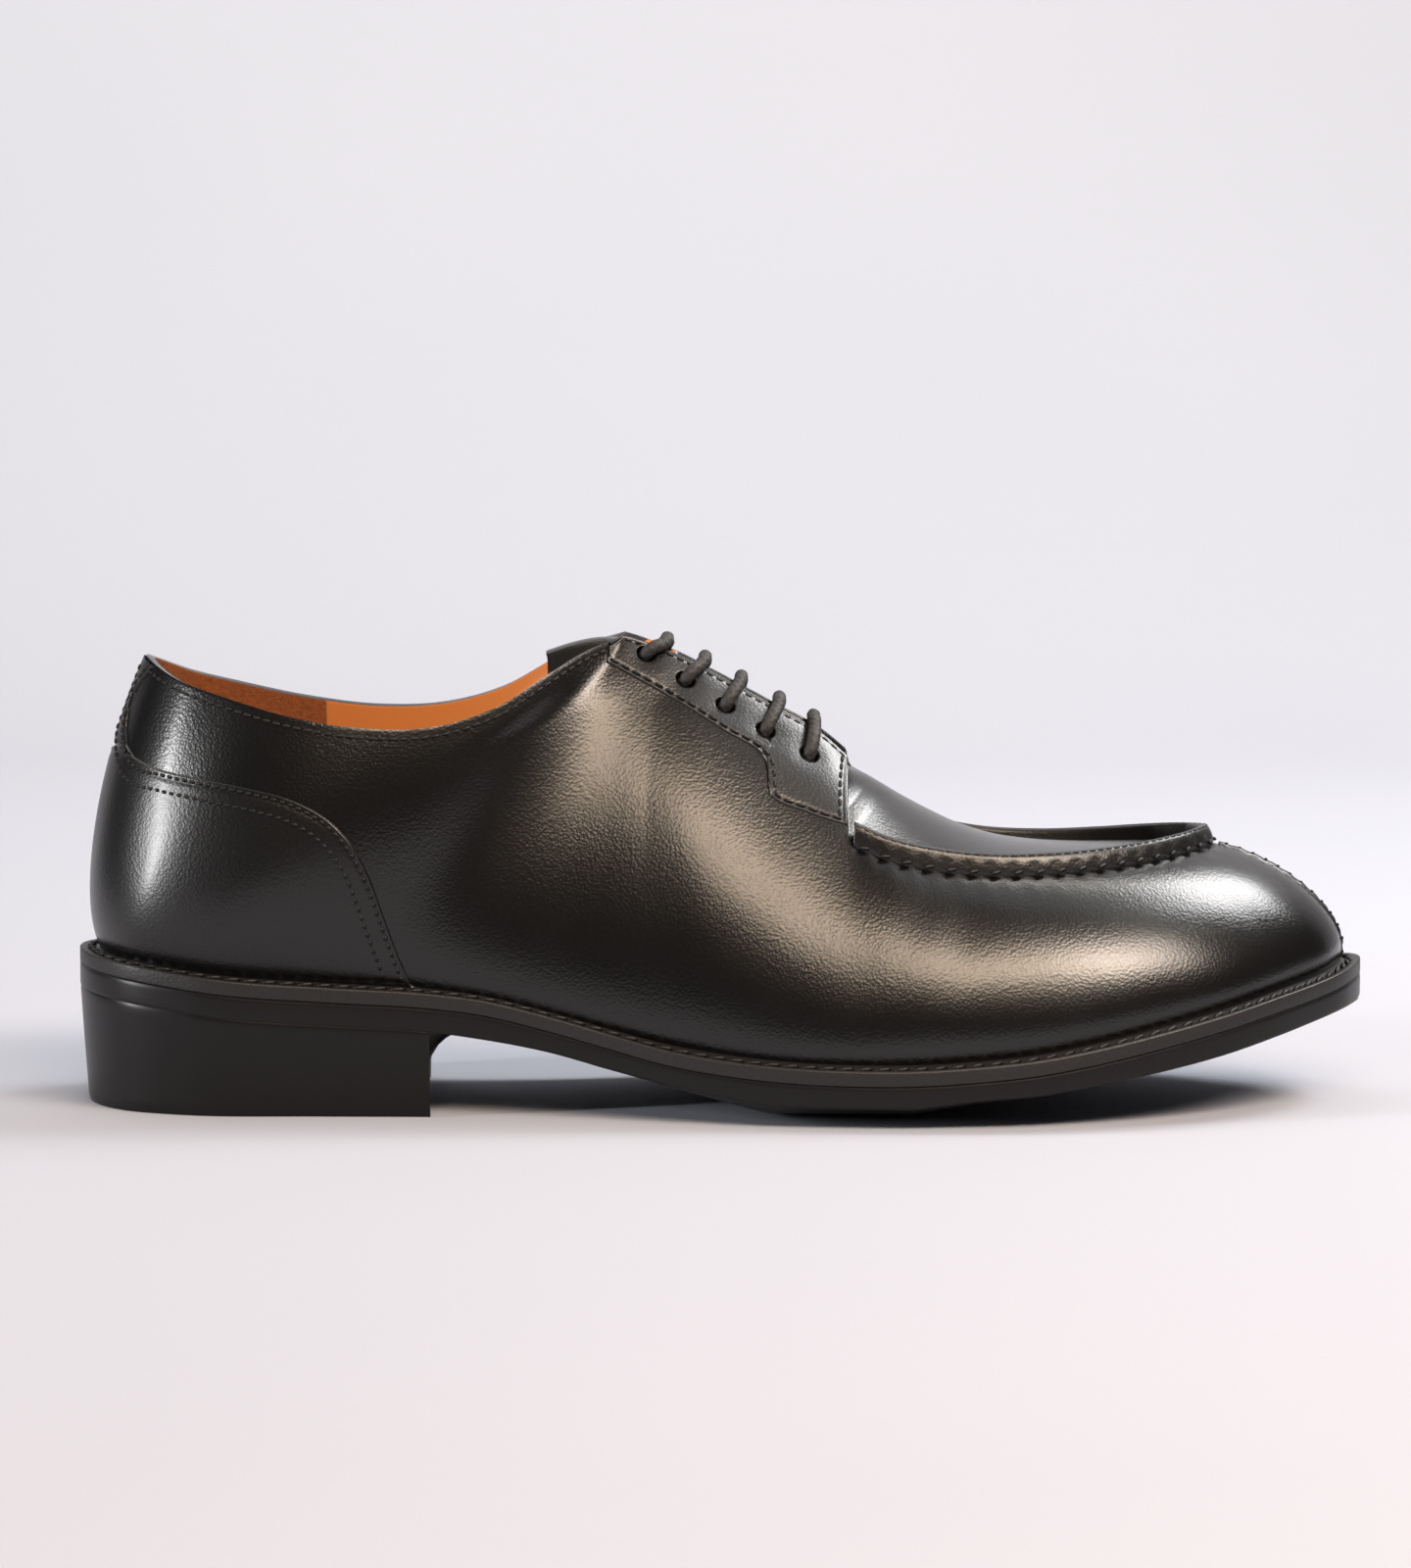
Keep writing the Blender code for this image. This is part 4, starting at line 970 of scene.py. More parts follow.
def tan_lining():
    """Smooth orange-tan lining, with a darker brushed grip round the heel."""
    material, tree, shader = plain("lining_leather")
    place = node(tree, "ShaderNodeTexCoord").outputs["Object"]
    split = node(tree, "ShaderNodeSeparateXYZ", Vector=place)
    edge = (GRIP_END - ORIGIN[0]) * MM
    grip = node(tree, "ShaderNodeMapRange", Value=split.outputs["X"], From_Min=edge, From_Max=edge - 0.4 * MM)
    fuzz = node(tree, "ShaderNodeTexNoise", Vector=place, Scale=1 / (1.1 * MM), Detail=6.0, Roughness=0.75)
    fuzzy = node(tree, "ShaderNodeMix", data_type="RGBA", Factor=fuzz.outputs["Fac"])
    fuzzy.inputs[6].default_value = linear("#4A2108")
    fuzzy.inputs[7].default_value = linear("#A65F2A")
    colour = node(tree, "ShaderNodeMix", data_type="RGBA", Factor=grip.outputs["Result"])
    colour.inputs[6].default_value = linear("#C4783C")
    tree.links.new(fuzzy.outputs[2], colour.inputs[7])
    rough = node(tree, "ShaderNodeMapRange", Value=grip.outputs["Result"], To_Min=0.5, To_Max=0.92)
    strength = node(tree, "ShaderNodeMapRange", Value=grip.outputs["Result"], To_Min=0.08, To_Max=0.8)
    bump = node(tree, "ShaderNodeBump", Height=fuzz.outputs["Fac"], Strength=strength.outputs["Result"],
                Distance=0.5 * MM)
    tree.links.new(colour.outputs[2], shader.inputs["Base Color"])
    tree.links.new(rough.outputs["Result"], shader.inputs["Roughness"])
    tree.links.new(bump.outputs["Normal"], shader.inputs["Normal"])
    return material


def thread():
    """Waxed black sewing thread, duller than the leather."""
    material, tree, shader = plain("stitch_thread")
    place = node(tree, "ShaderNodeTexCoord").outputs["Object"]
    twist = node(tree, "ShaderNodeTexNoise", Vector=place, Scale=1 / (0.35 * MM), Detail=2.0)
    bump = node(tree, "ShaderNodeBump", Height=twist.outputs["Fac"], Strength=0.4, Distance=0.1 * MM)
    shader.inputs["Base Color"].default_value = linear("#060505")
    shader.inputs["Roughness"].default_value = 0.5
    shader.inputs["Specular IOR Level"].default_value = 0.3
    tree.links.new(bump.outputs["Normal"], shader.inputs["Normal"])
    return material


def lace_cord():
    """Waxed braided cotton: charcoal with greyer, drier high spots."""
    material, tree, shader = plain("braided_cord")
    place = node(tree, "ShaderNodeTexCoord").outputs["Object"]
    dry = node(tree, "ShaderNodeTexNoise", Vector=place, Scale=1 / (0.5 * MM), Detail=5.0, Roughness=0.7)
    tone = node(tree, "ShaderNodeMix", data_type="RGBA", Factor=dry.outputs["Fac"])
    tone.inputs[6].default_value = linear("#080707")
    tone.inputs[7].default_value = linear("#2C2A29")
    bump = node(tree, "ShaderNodeBump", Height=dry.outputs["Fac"], Strength=0.5, Distance=0.15 * MM)
    shader.inputs["Roughness"].default_value = 0.62
    tree.links.new(tone.outputs[2], shader.inputs["Base Color"])
    tree.links.new(bump.outputs["Normal"], shader.inputs["Normal"])
    return material


def edge_ink(name, colour, roughness, layers):
    """Satin black edge ink over stacked leather: smooth, with faint lines along the layers."""
    material, tree, shader = plain(name)
    place = node(tree, "ShaderNodeTexCoord").outputs["Object"]
    stretch = node(tree, "ShaderNodeMapping", Vector=place, Scale=(0.04, 0.04, 1.0))
    lines = node(tree, "ShaderNodeTexNoise", Vector=stretch.outputs["Vector"], Scale=1 / (layers * MM),
                 Detail=3.0)
    speck = node(tree, "ShaderNodeTexNoise", Vector=place, Scale=1 / (0.8 * MM), Detail=3.0)
    first = node(tree, "ShaderNodeBump", Height=lines.outputs["Fac"], Strength=0.22, Distance=0.12 * MM)
    second = node(tree, "ShaderNodeBump", Height=speck.outputs["Fac"], Strength=0.08, Distance=0.1 * MM,
                  Normal=first.outputs["Normal"])
    shader.inputs["Base Color"].default_value = linear(colour)
    shader.inputs["Roughness"].default_value = roughness
    shader.inputs["Specular IOR Level"].default_value = 0.26
    tree.links.new(second.outputs["Normal"], shader.inputs["Normal"])
    return material


def pale_floor():
    """Matte pale grey paper, a little cool, which the warm lights turn near white."""
    material, tree, shader = plain("paper_sweep")
    place = node(tree, "ShaderNodeTexCoord").outputs["Object"]
    mottle = node(tree, "ShaderNodeTexNoise", Vector=place, Scale=3.0, Detail=1.0)
    tone = node(tree, "ShaderNodeMix", data_type="RGBA", Factor=mottle.outputs["Fac"])
    tone.inputs[6].default_value = linear("#A0A4AF")
    tone.inputs[7].default_value = linear("#A4A7B1")
    shader.inputs["Roughness"].default_value = 0.9
    shader.inputs["Specular IOR Level"].default_value = 0.1
    tree.links.new(tone.outputs[2], shader.inputs["Base Color"])
    return material


def evened(grid, ribs, rows):
    """Even out the change of shape at the front ribs, where quarter and side panel meet."""
    soft = np.zeros_like(grid)
    total = 0.0
    for step in range(-18, 19):
        weight = math.exp(-(step / 8.0) ** 2)
        soft += weight * np.roll(grid, step, axis=0)
        total += weight
    column_number = np.arange(len(grid))
    near = np.zeros(len(grid))
    for rib in ribs:
        away = np.abs(column_number - rib)
        near += np.exp(-(np.minimum(away, len(grid) - away) / 20.0) ** 4)
    share = near[:, None] * ramp((0.96 - rows) / 0.25)
    return grid + (soft / total - grid) * share[..., None]


def build_upper(leather, lining):
    """Quarters, side panels and plug as one sheet with a real wall; its inner face is lining."""
    sheet = Solid()
    rear = np.concatenate((np.linspace(0.0, S_THROAT, 111)[:-1], np.linspace(S_THROAT, S_FRONT, 90)))
    panel_s = np.linspace(S_FRONT, 1.0, 190)[1:]
    quarters = np.concatenate((-rear[:0:-1], rear))
    panels = np.concatenate((panel_s, -panel_s[-2::-1]))
    low = np.concatenate((np.linspace(0.0, 0.86, 28), np.linspace(0.86, 1.0, 15)[1:]))
    high = np.linspace(SEAM_START, 1.0, 24)

    def dressed(s, v):
        s, v = np.broadcast_arrays(s, v)
        return raised(s, v, relief(s, v))

    ribs = np.concatenate((dressed(quarters[:, None], low * SEAM_START), dressed(panels[:, None], low)))
    wall = evened(ribs, (0, len(quarters) - 1), low)
    quarter_low = sheet.add(wall[:len(quarters)])
    panel_low = sheet.add(wall[len(quarters):])
    sheet.quads(np.concatenate((quarter_low, panel_low)), closed=True)
    quarter_high = sheet.add(dressed(quarters[:, None], high[1:]))
    upper_band = np.concatenate((quarter_low[:, -1:], quarter_high), axis=1)
    sheet.quads(upper_band)
    across = ramp(np.linspace(0.0, 1.0, 73)) * 0.35 + np.linspace(0.0, 1.0, 73) * 0.65
    under = -np.linspace(1.0, 0.0, len(high))[:-1]
    outer_step = sheet.add(plug_edge(under, 1))
    inner_step = sheet.add(plug_edge(under, -1))
    sheet.quads(np.array((upper_band[-1, 1:][::-1], outer_step)))
    sheet.quads(np.array((inner_step, upper_band[0, 1:][::-1])))
    for band, step in ((upper_band[-1], outer_step), (upper_band[0], inner_step)):
        corner = [band[0], band[1], step[-1]]
        sheet.faces.append(corner if band is upper_band[-1] else corner[::-1])
    outer_edge = np.concatenate((outer_step, [upper_band[-1, 0]], panel_low[:len(panel_s), -1]))
    inner_edge = np.concatenate((inner_step, [upper_band[0, 0]], panel_low[len(panel_s) - 1:, -1][::-1]))
    kept = np.concatenate((np.arange(0, len(panel_s) - 4, 2), [len(panel_s) - 1]))
    rows = np.concatenate((np.arange(len(under) + 1), len(under) + 1 + kept))
    w = np.concatenate((under, [0.0], (panel_s[kept] - S_FRONT) / (1.0 - S_FRONT)))[:-1]
    inside = sheet.add(plug(w[:, None], across[1:-1]))
    lines = np.column_stack((outer_edge[rows[:-1]], inside, inner_edge[rows[:-1]]))
    tip = np.full((1, len(across)), outer_edge[-1])
    sheet.quads(np.concatenate((lines, tip)))
    for edge in (outer_edge, inner_edge):
        for first, last in zip(rows[:-1], rows[1:]):
            if last - first > 1:
                sheet.faces.append([int(edge[k]) for k in range(first, last + 1)])
    sheet.orient()
    body = thicken(sheet, -WALL, 0.0)
    count = len(sheet.faces)
    finish = np.zeros(len(body.faces), int)
    finish[count:2 * count] = 1
    object_from("upper_shell", body, (leather, lining), ("upper",), finish, bevel=0.7)


def build_eyestay(side, name, leather):
    """Facing overlay of one side with its punched holes. Gives its lower edge."""
    behind = np.linspace(S_THROAT * 0.9, S_THROAT, 26)[:-1]
    s = np.concatenate((behind, np.linspace(S_THROAT, S_FRONT, 210))) * side
    low = crossing(s, rounded(EYESTAY_EDGE, 60), from_top=True)
    places, v, height = patch(s, low, np.full(len(s), 1.0), 62, drop_last=True)
    height = height + pits(skin(places, v), 2.0, 3.0)
    object_from(name, sheet_from(raised(places, v, height)), (leather,), (name,))
    return s, low


def build_counter(leather):
    """Heel counter with the narrow strip up the back. Gives the strip's edge and its own."""
    side = np.linspace(0.0, s_at_x(COUNTER_FRONT_X), 150)
    s = np.concatenate((-side[:0:-1], side))
    high = np.maximum(crossing(s, rounded(COUNTER_EDGE, 80), from_top=False), 0.02)
    counter = sheet_from(raised(*patch(s, np.full(len(s), 0.004), high, 70)))
    heights = np.linspace(STRIP_EDGE[0][1], STRIP_EDGE[-1][1], 90)
    x = np.interp(heights, column(STRIP_EDGE, 1), column(STRIP_EDGE, 0))
    outer_s, outer_v = place_at(1, x, heights)
    share = np.linspace(-1.0, 1.0, 41)
    share = np.sign(share) * (1 - (1 - np.abs(share)) ** 1.8)
    strip_s = outer_s[:, None] * share
    strip_v = np.broadcast_to(np.minimum(outer_v, 0.995)[:, None], strip_s.shape)
    away = (1 - np.abs(share)) * outer_s[:, None] * OUTLINE_LENGTH
    sunk = ramp((heights - heights[0] - 0.6) / 2.0)
    strip_height = ramp(away / 0.62) * sunk[:, None] - OVERLAY_SINK
    strip = sheet_from(raised(strip_s, strip_v, strip_height))
    object_from("counter_panel", joined((counter, strip)), (leather,), ("counter",))
    return (outer_s, outer_v), (s, high)


def build_rim(leather):
    """Raised hand-sewn rim of the apron, pulled in at every stitch. Gives its two stitch rows."""
    body = Solid()
    w = np.linspace(0.012, 1.0, 210)
    half = S_FRONT + w * (1.0 - S_FRONT)
    s = np.concatenate((half, -half[-2::-1]))
    fold = seam_line(s)
    down_wall = unit(skin(s, 0.95) - fold)
    ends = np.concatenate((plug(w, 0.035), plug(w[-2::-1], 0.965)))
    width = np.linalg.norm(ends - fold, axis=1, keepdims=True)
    down_plug = unit(np.where(width > 0.5, ends - fold, plug(0.85, 0.5) - fold))
    normal_wall = skin_normal(s, 0.98)
    up = unit(normal_wall + np.array((0.0, 0.0, 1.0)))
    lift = np.array((0.0, 0.0, 1.0)) * 0.55 + up * 0.45
    pull = 0.5 + 0.5 * np.cos(2 * np.pi * seam_run(s) / HAND_STITCH_PITCH)[:, None]
    section = np.array((
        fold + down_wall * 2.5 - normal_wall * 0.3,
        fold + down_wall * 2.5 + lift * (0.7 + 0.35 * pull),
        fold + down_wall * (1.9 + 0.25 * pull) + lift * 2.3,
        fold + down_wall * 1.5 + lift * 3.3,
        fold + down_wall * 0.9 + lift * 3.9,
        fold + down_wall * 0.1 + lift * 4.05,
        fold + down_plug * 0.8 + lift * 3.75,
        fold + down_plug * 1.5 + lift * 3.0,
        fold + down_plug * 1.7 + lift * 1.7,
        fold + down_plug * 1.9 - up * 0.2,
    ))
    rows = np.linspace(0.0, 1.0, 28)
    curve = smooth(np.linspace(0.0, 1.0, len(section)), section.reshape(len(section), -1), rows)
    points = curve.reshape(len(rows), len(s), 3).transpose(1, 0, 2)
    grid = body.add(points)
    body.quads(grid)
    body.faces.append([int(n) for n in grid[0]])
    body.faces.append([int(n) for n in grid[-1][::-1]])
    object_from("apron_rim_roll", body, (leather,), ("apron_rim",))
    top_row = fold + down_wall * 0.75 + lift * 4.0
    hand_row = fold + down_wall * 2.35 + normal_wall * 0.35 + lift * 0.55
    return (top_row, up), (hand_row, unit(normal_wall + up * 0.4))


def build_tongue(leather, lining):
    """Tongue under the facings, with a free padded top behind the throat."""
    across = np.linspace(-1.0, 1.0, 49)
    depth = WALL + 0.9
    places = np.linspace(S_THROAT, S_THROAT + 0.84 * (S_FRONT - S_THROAT), 60)
    narrowing = np.interp(places, (places[-20], places[-1]), (1.0, 0.62))
    rows = instep(places[:, None], across * narrowing[:, None])
    normals = unit(np.cross(np.gradient(rows, axis=0), np.gradient(rows, axis=1)))
    under = rows - normals * np.sign(normals[..., 2:3]) * depth
    keys = np.arange(4.0)
    moves = smooth(keys, np.vstack(((0.0, 0.0, 1.0), np.array(TONGUE_TOP))), np.linspace(0.0, 3.0, 34))[1:]
    free = [
        under[0] * np.array((1.0, share, 1.0)) + np.array((back, 0.0, up))
        for back, up, share in moves[::-1]
    ]
    sink = np.array((0.3, 0.0, 1.0)) * (WALL + GAP) * 1.5
    front = [plug(w, 0.5 + 0.3 * across) - sink for w in (-0.95, -0.5)]
    sheet = Solid()
    sheet.quads(sheet.add(np.array(free + list(under) + front)))
    body = thicken(sheet, -1.9, 0.0)
    count = len(sheet.faces)
    finish = np.zeros(len(body.faces), int)
    finish[count:2 * count] = 1
    materials = (leather, lining)
    object_from("tongue_sheet", body, materials, ("tongue",), finish, bevel=0.5)


def lace_path(pair, lean):
    """Middle line of one visible bar of the lace, with its hidden ends inside the eyelets."""
    ends = []
    places = np.linspace(S_THROAT, S_FRONT, 120)
    for (s, v), side in zip(pair, (1, -1)):
        hole = skin(s, v)
        normal = skin_normal(s, v)
        edge_x = hole[0] + lean * (1.0 if side > 0 else 0.3)
        edge_points = skin(side * places, 1.0)
        edge_s = side * np.interp(edge_x, edge_points[:, 0], places)
        edge = skin(edge_s, 1.0)
        edge_normal = unit(skin_normal(edge_s, 1.0) + np.array((0.0, 0.0, 0.5)))
        toward = edge - hole
        over = LACE_RADIUS + 0.5
        ends.append([
            hole - normal * 2.6 - toward * 0.05,
            hole - normal * 0.9,
            hole + normal * 1.0 + toward * 0.10,
            hole + normal * over + toward * 0.36,
            hole + normal * over + toward * 0.72,
            edge + edge_normal * over * 0.92,
        ])
    middle = (ends[0][-1] + ends[1][-1]) / 2 - np.array((0.0, 0.0, 0.9))
    points = np.array(ends[0] + [middle] + ends[1][::-1])
    return smooth(lengths(points), points, np.linspace(0.0, 1.0, 230))


def build_lace(pair, lean, name, cord):
    """Braided cord: two sets of strands that cross over and under each other."""
    path = lace_path(pair, lean)
    run = along_row(path)
    along = unit(np.gradient(path, axis=0))
    side = np.cross(along[0], (1.0, 0.0, 0.0))
    angle = np.linspace(0.0, 2 * np.pi, 33)[:-1]
    body = Solid()
    rings = []
    for distance, point, direction in zip(run, path, along):
        side = unit(side - direction * np.dot(side, direction))
        other = np.cross(direction, side)
        turn = 2 * np.pi * distance / BRAID_PITCH
        first = np.abs(np.cos(2 * angle + turn))
        second = np.abs(np.cos(2 * angle - turn))
        above = np.sin(4 * angle) * np.sin(2 * turn) > 0
        radius = LACE_RADIUS - 0.22 + 0.24 * np.where(above, np.maximum(first, second * 0.8),
                                                     np.maximum(second, first * 0.8))
        circle = point + radius[:, None] * (np.cos(angle)[:, None] * side + np.sin(angle)[:, None] * other)
        rings.append(body.add(circle))
    grid = np.array(rings)
    body.quads(np.concatenate((grid, grid[:, :1]), axis=1)[:, ::-1])
    body.faces.append([int(n) for n in grid[0]])
    body.faces.append([int(n) for n in grid[-1][::-1]])
    object_from(name + "_cord", body, (cord,), (name,))


def build_welt(leather):
    """Strip all round with a rounded edge and a shallow channel. Gives its stitches."""
    body = Solid()
    s = np.linspace(-1.0, 1.0, 701)[:-1]
    rounding = [(0.55 - 0.55 * math.sin(a), 0.55 - 0.55 * math.cos(a)) for a in np.linspace(0, np.pi / 2, 6)]
    section = [(WELT_INNER_INSET, 0.05), (3.0, 0.05)]
    section += [(inset, low) for inset, low in rounding]
    section += [(inset, WELT_THICKNESS - low) for inset, low in rounding[::-1]]
    section += [(1.5, WELT_THICKNESS), (2.1, WELT_THICKNESS - 0.12), (2.7, WELT_THICKNESS - 0.25),
                (3.3, WELT_THICKNESS - 0.12), (3.9, WELT_THICKNESS + 0.1), (4.6, WELT_THICKNESS + 0.5),
                (FEATHER_INSET + 0.4, WELT_THICKNESS + 0.8), (WELT_INNER_INSET, WELT_THICKNESS + 0.8)]
    rings = []
    for inset, height in section:
        xy = inset_xy(s, np.full(len(s), inset))
        rings.append(body.add(np.column_stack((xy, welt_top(xy[:, 0]) - WELT_THICKNESS + height))))
    grid = np.array(rings).T
    body.quads(grid, closed=True)
    object_from("welt_strip", body, (leather,), ("welt",))
    xy = inset_xy(s, np.full(len(s), WELT_STITCH_INSET))
    row = np.column_stack((xy, welt_top(xy[:, 0]) + 0.12))
    upright = unit(outward(s) * 0.15 + np.array((0.0, 0.0, 1.0)))
    return stitch_row(row, upright, WELT_STITCH, tilt=18.0)


def build_outsole(ink):
    """Leather sole with a slightly domed, crisp edge and a rounded forepart underneath."""
    body = Solid()
    s = np.linspace(-1.0, 1.0, 601)[:-1]
    count = 300
    edge = ((0.16, 0.0), (0.04, 0.04), (0.0, 0.2), (0.0, 0.5), (0.0, 0.86), (0.05, 0.97), (0.25, 1.0))
    rings = []
    for inset, share in edge:
        xy = inset_xy(s, np.full(len(s), inset))
        top = sole_top(xy[:, 0]) + GAP
        bottom = sole_bottom(xy[:, 0], np.ones(len(s)))
        rings.append(body.add(np.column_stack((xy, top + (bottom - top) * share))))
    side = np.array(rings).T
    body.quads(side[:, ::-1], closed=True)
    shares = np.linspace(-1.0, 1.0, 25)
    for ring, is_top in ((rings[0], True), (rings[-1], False)):
        corners = np.array(body.points)[ring]
        lines = []
        for k in range(count + 1):
            first = (count - k) % (2 * count)
            last = (count + k) % (2 * count)
            if first == last:
                lines.append(np.full(len(shares), ring[first]))
                continue
            inner = shares[1:-1, None]
            mixed = (1 - inner) / 2 * corners[first] + (1 + inner) / 2 * corners[last]
            mixed[:, 2] = sole_top(mixed[:, 0]) + GAP if is_top else sole_bottom(mixed[:, 0], shares[1:-1])
            lines.append(np.concatenate(([ring[first]], body.add(mixed), [ring[last]])))
        grid = np.array(lines)
        body.quads(grid if is_top else grid[:, ::-1])
    object_from("sole_leather", body, (ink,), ("outsole",))


def build_heel(ink):
    """Stacked heel block with a hollow breast that runs out under the waist."""
    body = Solid()
    s = np.linspace(0.0, s_at_x(HEEL_BREAST), 90)
    shares = np.linspace(-1.0, 1.0, 31)
    layers = []
    profile = np.interp(HEEL_ROWS, column(HEEL_SIDE, 0), column(HEEL_SIDE, 1))
    for share, inset in zip(HEEL_ROWS, profile):
        outer = inset_xy(s, np.full(len(s), inset))
        inner = inset_xy(-s, np.full(len(s), inset))
        across = shares[None, :, None]
        grid = (1 - across) / 2 * outer[:, None] + (1 + across) / 2 * inner[:, None]
        near_breast = (s / s[-1])[:, None] ** 4
        grid[..., 0] -= near_breast * 3.5 * (1 - shares ** 2)
        grid[..., 0] += near_breast * 10.0 * share ** 4 * (1 - shares ** 6)
        z = sole_bottom(grid[..., 0], 0.0) * share
        layers.append(body.add(np.concatenate((grid, z[..., None]), axis=-1)))
    for layer in layers:
        layer[0, :] = layer[0, 0]
    body.quads(layers[0][:, ::-1])
    body.quads(layers[-1])
    rims = [np.concatenate((layer[:, 0], layer[-1, 1:-1], layer[::-1, -1][:-1])) for layer in layers]
    body.quads(np.array(rims).T, closed=True)
    object_from("heel_block", body, (ink,), ("heel",), bevel=0.4)


def build_insole(lining):
    """Tan sock over the insole board."""
    body = Solid()
    s = np.linspace(-1.0, 1.0, 301)[:-1]
    inset = np.full(len(s), WELT_INNER_INSET + 0.4)
    xy = inset_xy(s, inset)
    top = body.add(np.column_stack((xy, welt_top(xy[:, 0]) + INSOLE_RISE)))
    low = body.add(np.column_stack((xy, sole_top(xy[:, 0]) + GAP)))
    count = 150
    body.quads(np.array((low, top)).T, closed=True)
    for ring in (top, low):
        lines = [[ring[(count - k) % 300], ring[(count + k) % 300]] for k in range(count + 1)]
        body.quads(np.array(lines))
    object_from("sock_leather", body, (lining,), ("insole",))


def build_toe_seam(leather):
    """Raised split seam down the middle of the toe. Gives its stitches."""
    body = Solid()
    v = np.linspace(0.02, 0.93, 150)
    turns = np.linspace(-1.0, 1.0, 13)
    tie = 0.85 + 0.15 * np.cos(2 * np.pi * v * 13.0)
    grid = np.array([
        body.add(raised(1.0 + 0.0052 * turn, v, (0.8 * (1 - turn ** 2) ** 0.8 - 0.1) * tie)) for turn in turns
    ]).T
    body.quads(grid)
    object_from("toe_seam_ridge", body, (leather,), ("toe_seam",))
    path = raised(np.full(len(v), 1.0), v, np.full(len(v), 0.62))
    return stitch_row(path, skin_normal(np.full(len(v), 1.0), v), TOE_STITCH, tilt=70.0)


def build_stitches(material, welt_row, toe_row, top_row, hand_row, eyestay_low, counter_lines):
    """Every visible row of stitches, in four pieces."""
    rows = []
    collar_s = np.linspace(-S_THROAT * 0.995, S_THROAT * 0.995, 500)
    drop = 2.3 / np.linalg.norm(skin(collar_s, 1.0) - skin(collar_s, 0.9), axis=-1) * 0.1
    rows.append(seam_stitches(collar_s, 1.0 - drop, 0.12, COLLAR_STITCH))
    for side in (1, -1):
        s, low = eyestay_low[side]
        inside = (low < 0.985) & (np.abs(s) < S_FRONT - 0.003)
        path_s, path_v = beside(s[inside], low[inside], STITCH_INSET * side)
        keep = (path_v < 0.985) & (np.abs(path_s) < S_FRONT - 0.004)
        rows.append(seam_stitches(path_s[keep], path_v[keep], OVERLAY_RISE, EYESTAY_STITCH))
        front_v = np.linspace(low[-1] + 0.02, 0.985, 60)
        front_s, front_v = moved(np.full(60, side * (S_FRONT - 0.001)), front_v,
                                 np.tile((-STITCH_INSET - 0.4, 0.0, 0.0), (60, 1)))
        rows.append(seam_stitches(front_s, front_v, OVERLAY_RISE, EYESTAY_STITCH))
        facing_s = np.linspace(S_THROAT * 1.002, S_FRONT * 0.995, 200) * side
        drop = 1.9 / np.linalg.norm(skin(facing_s, 1.0) - skin(facing_s, 0.9), axis=-1) * 0.1
        rows.append(seam_stitches(facing_s, 1.0 - drop, 0.6, FACING_STITCH))
    object_from("panel_stitches", joined(rows), (material,))
    (strip_s, strip_v), (edge_s, edge_v) = counter_lines
    rows = []
    for side in (1, -1):
        upright = np.column_stack((strip_s * side, strip_v))[::-1]
        ahead = side * edge_s > strip_s[0] * 1.25
        forward = np.column_stack((edge_s[ahead], edge_v[ahead]))
        forward = forward if side > 0 else forward[::-1]
        line = np.vstack((upright, forward))
        points = skin(line[:, 0], line[:, 1])
        run = along_row(points)
        even = np.arange(0.0, run[-1], 0.6)
        width = 6
        path = np.column_stack([np.interp(even, run, line[:, k]) for k in (0, 1)])
        kernel = np.ones(2 * width + 1) / (2 * width + 1)
        for k in (0, 1):
            path[width:-width, k] = np.convolve(path[:, k], kernel, "valid")
        for inset in COUNTER_INSETS:
            row_s, row_v = beside(path[:, 0], path[:, 1], -inset * side)
            fits = (row_v > 0.03) & (row_v < 0.975) & (side * row_s > 0.004)
            rows.append(seam_stitches(row_s[fits], row_v[fits], 0.6, COUNTER_STITCH))
    object_from("counter_stitches", joined(rows), (material,))
    object_from("welt_stitches", welt_row, (material,))
    fine = stitch_row(*top_row, RIM_STITCH)
    coarse = stitch_row(*hand_row, HAND_STITCH, tilt=24.0)
    object_from("rim_stitches", joined((fine, coarse, toe_row)), (material,))


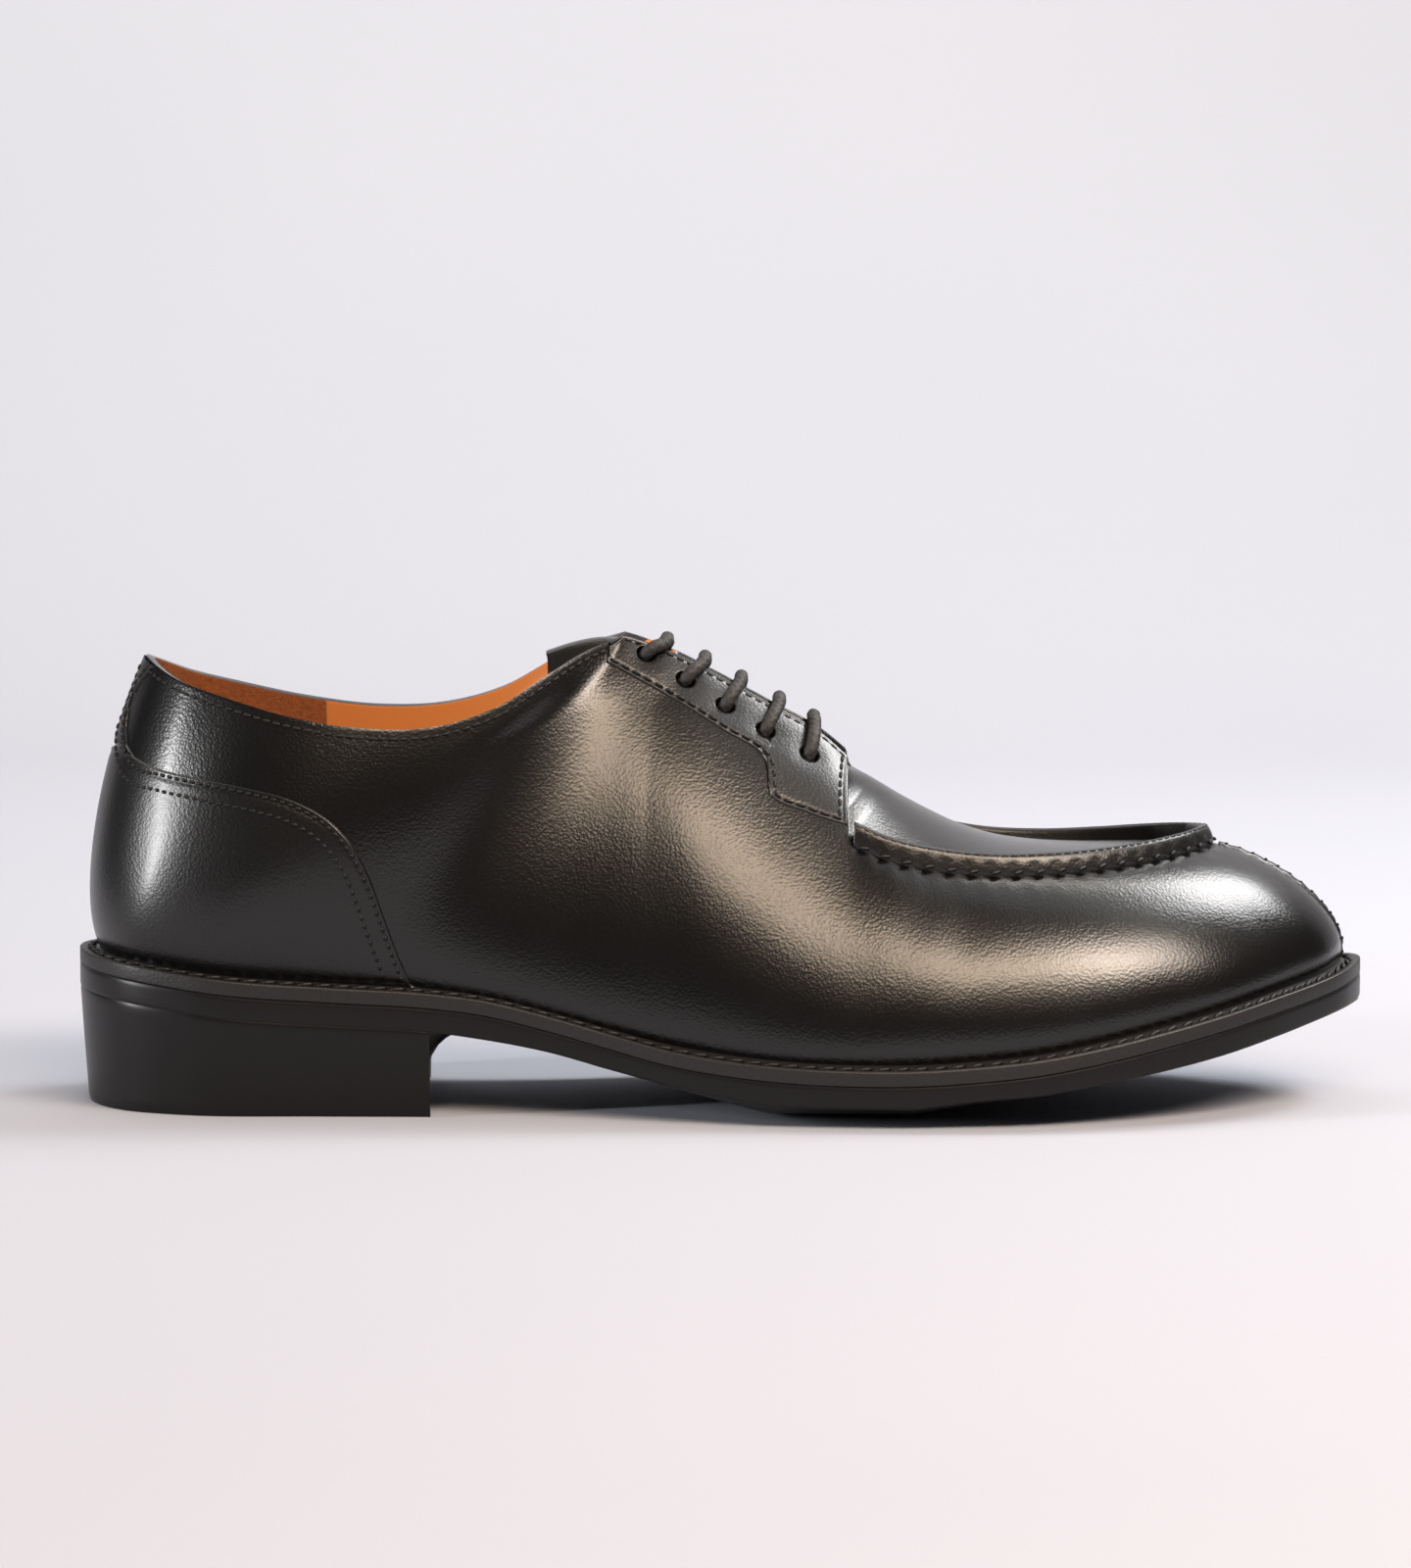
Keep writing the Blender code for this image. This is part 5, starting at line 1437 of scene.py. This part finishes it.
def build_stage():
    """Pale paper sweep, the camera of the photo and soft lights."""
    profile = [(y, 0.0) for y in (-0.62, -0.3, 0.0, 0.4, 0.9)]
    profile += [(0.9 + 0.8 * math.sin(a), 0.8 - 0.8 * math.cos(a)) for a in np.linspace(0.1, np.pi / 2, 14)]
    profile += [(1.7, 3.0)]
    mesh = bpy.data.meshes.new("sweep")
    points = [(x, y, z) for y, z in profile for x in (-3.0, 3.0)]
    faces = [(2 * k, 2 * k + 1, 2 * k + 3, 2 * k + 2) for k in range(len(profile) - 1)]
    mesh.from_pydata(points, [], faces)
    mesh.polygons.foreach_set("use_smooth", np.ones(len(faces), bool))
    mesh.materials.append(pale_floor())
    sweep = bpy.data.objects.new("sweep", mesh)
    bpy.context.scene.collection.objects.link(sweep)
    camera = bpy.data.objects.new("camera", bpy.data.cameras.new("camera"))
    camera.location = [(a - b) * MM for a, b in zip(CAMERA_PLACE, ORIGIN)]
    camera.rotation_euler = (math.pi / 2 - math.radians(CAMERA_PITCH), 0.0, 0.0)
    camera.data.sensor_fit = "VERTICAL"
    camera.data.sensor_height = 36.0
    camera.data.lens = CAMERA_LENS
    camera.data.clip_start = 0.05
    bpy.context.scene.collection.objects.link(camera)
    bpy.context.scene.camera = camera
    for name, place, aim, size, power, colour in LIGHTS:
        data = bpy.data.lights.new(name, "AREA")
        data.shape = "RECTANGLE"
        data.size, data.size_y = size
        data.energy = power
        data.color = linear(colour)[:3]
        lamp = bpy.data.objects.new(name, data)
        lamp.location = place
        lamp.rotation_euler = (Vector(aim) - Vector(place)).to_track_quat("-Z", "Y").to_euler()
        bpy.context.scene.collection.objects.link(lamp)
    world = bpy.data.worlds.new("studio")
    bpy.context.scene.world = world
    world.use_nodes = True
    world.node_tree.nodes["Background"].inputs["Color"].default_value = linear("#F4F2F3")
    world.node_tree.nodes["Background"].inputs["Strength"].default_value = WORLD_STRENGTH
    bpy.context.scene.view_settings.view_transform = "Standard"


calf_leather = calf("calf_leather")
panel_leather = calf("panel_leather", roughness=0.31)
rim_leather = calf("rim_leather", roughness=0.38, grain=1.3)
welt_leather = calf("welt_leather", colour="#121010", roughness=0.5, grain=1.4, coat=0.1)
lining = tan_lining()
stitching = thread()
cord = lace_cord()
build_upper(calf_leather, lining)
eyestay_low = {}
for side, name in ((1, "eyestay_lateral"), (-1, "eyestay_medial")):
    eyestay_low[side] = build_eyestay(side, name, panel_leather)
counter_lines = build_counter(panel_leather)
top_row, hand_row = build_rim(rim_leather)
build_tongue(panel_leather, lining)
for number, (pair, lean) in enumerate(zip(EYELET_PLACES, LACE_LEAN), start=1):
    build_lace(pair, lean, f"lace_bar_{number}", cord)
welt_row = build_welt(welt_leather)
build_outsole(edge_ink("sole_ink", "#0F0D0E", 0.36, 1.4))
build_heel(edge_ink("heel_ink", "#0E0C0D", 0.34, 2.4))
build_insole(lining)
toe_row = build_toe_seam(rim_leather)
build_stitches(stitching, welt_row, toe_row, top_row, hand_row, eyestay_low, counter_lines)
build_stage()
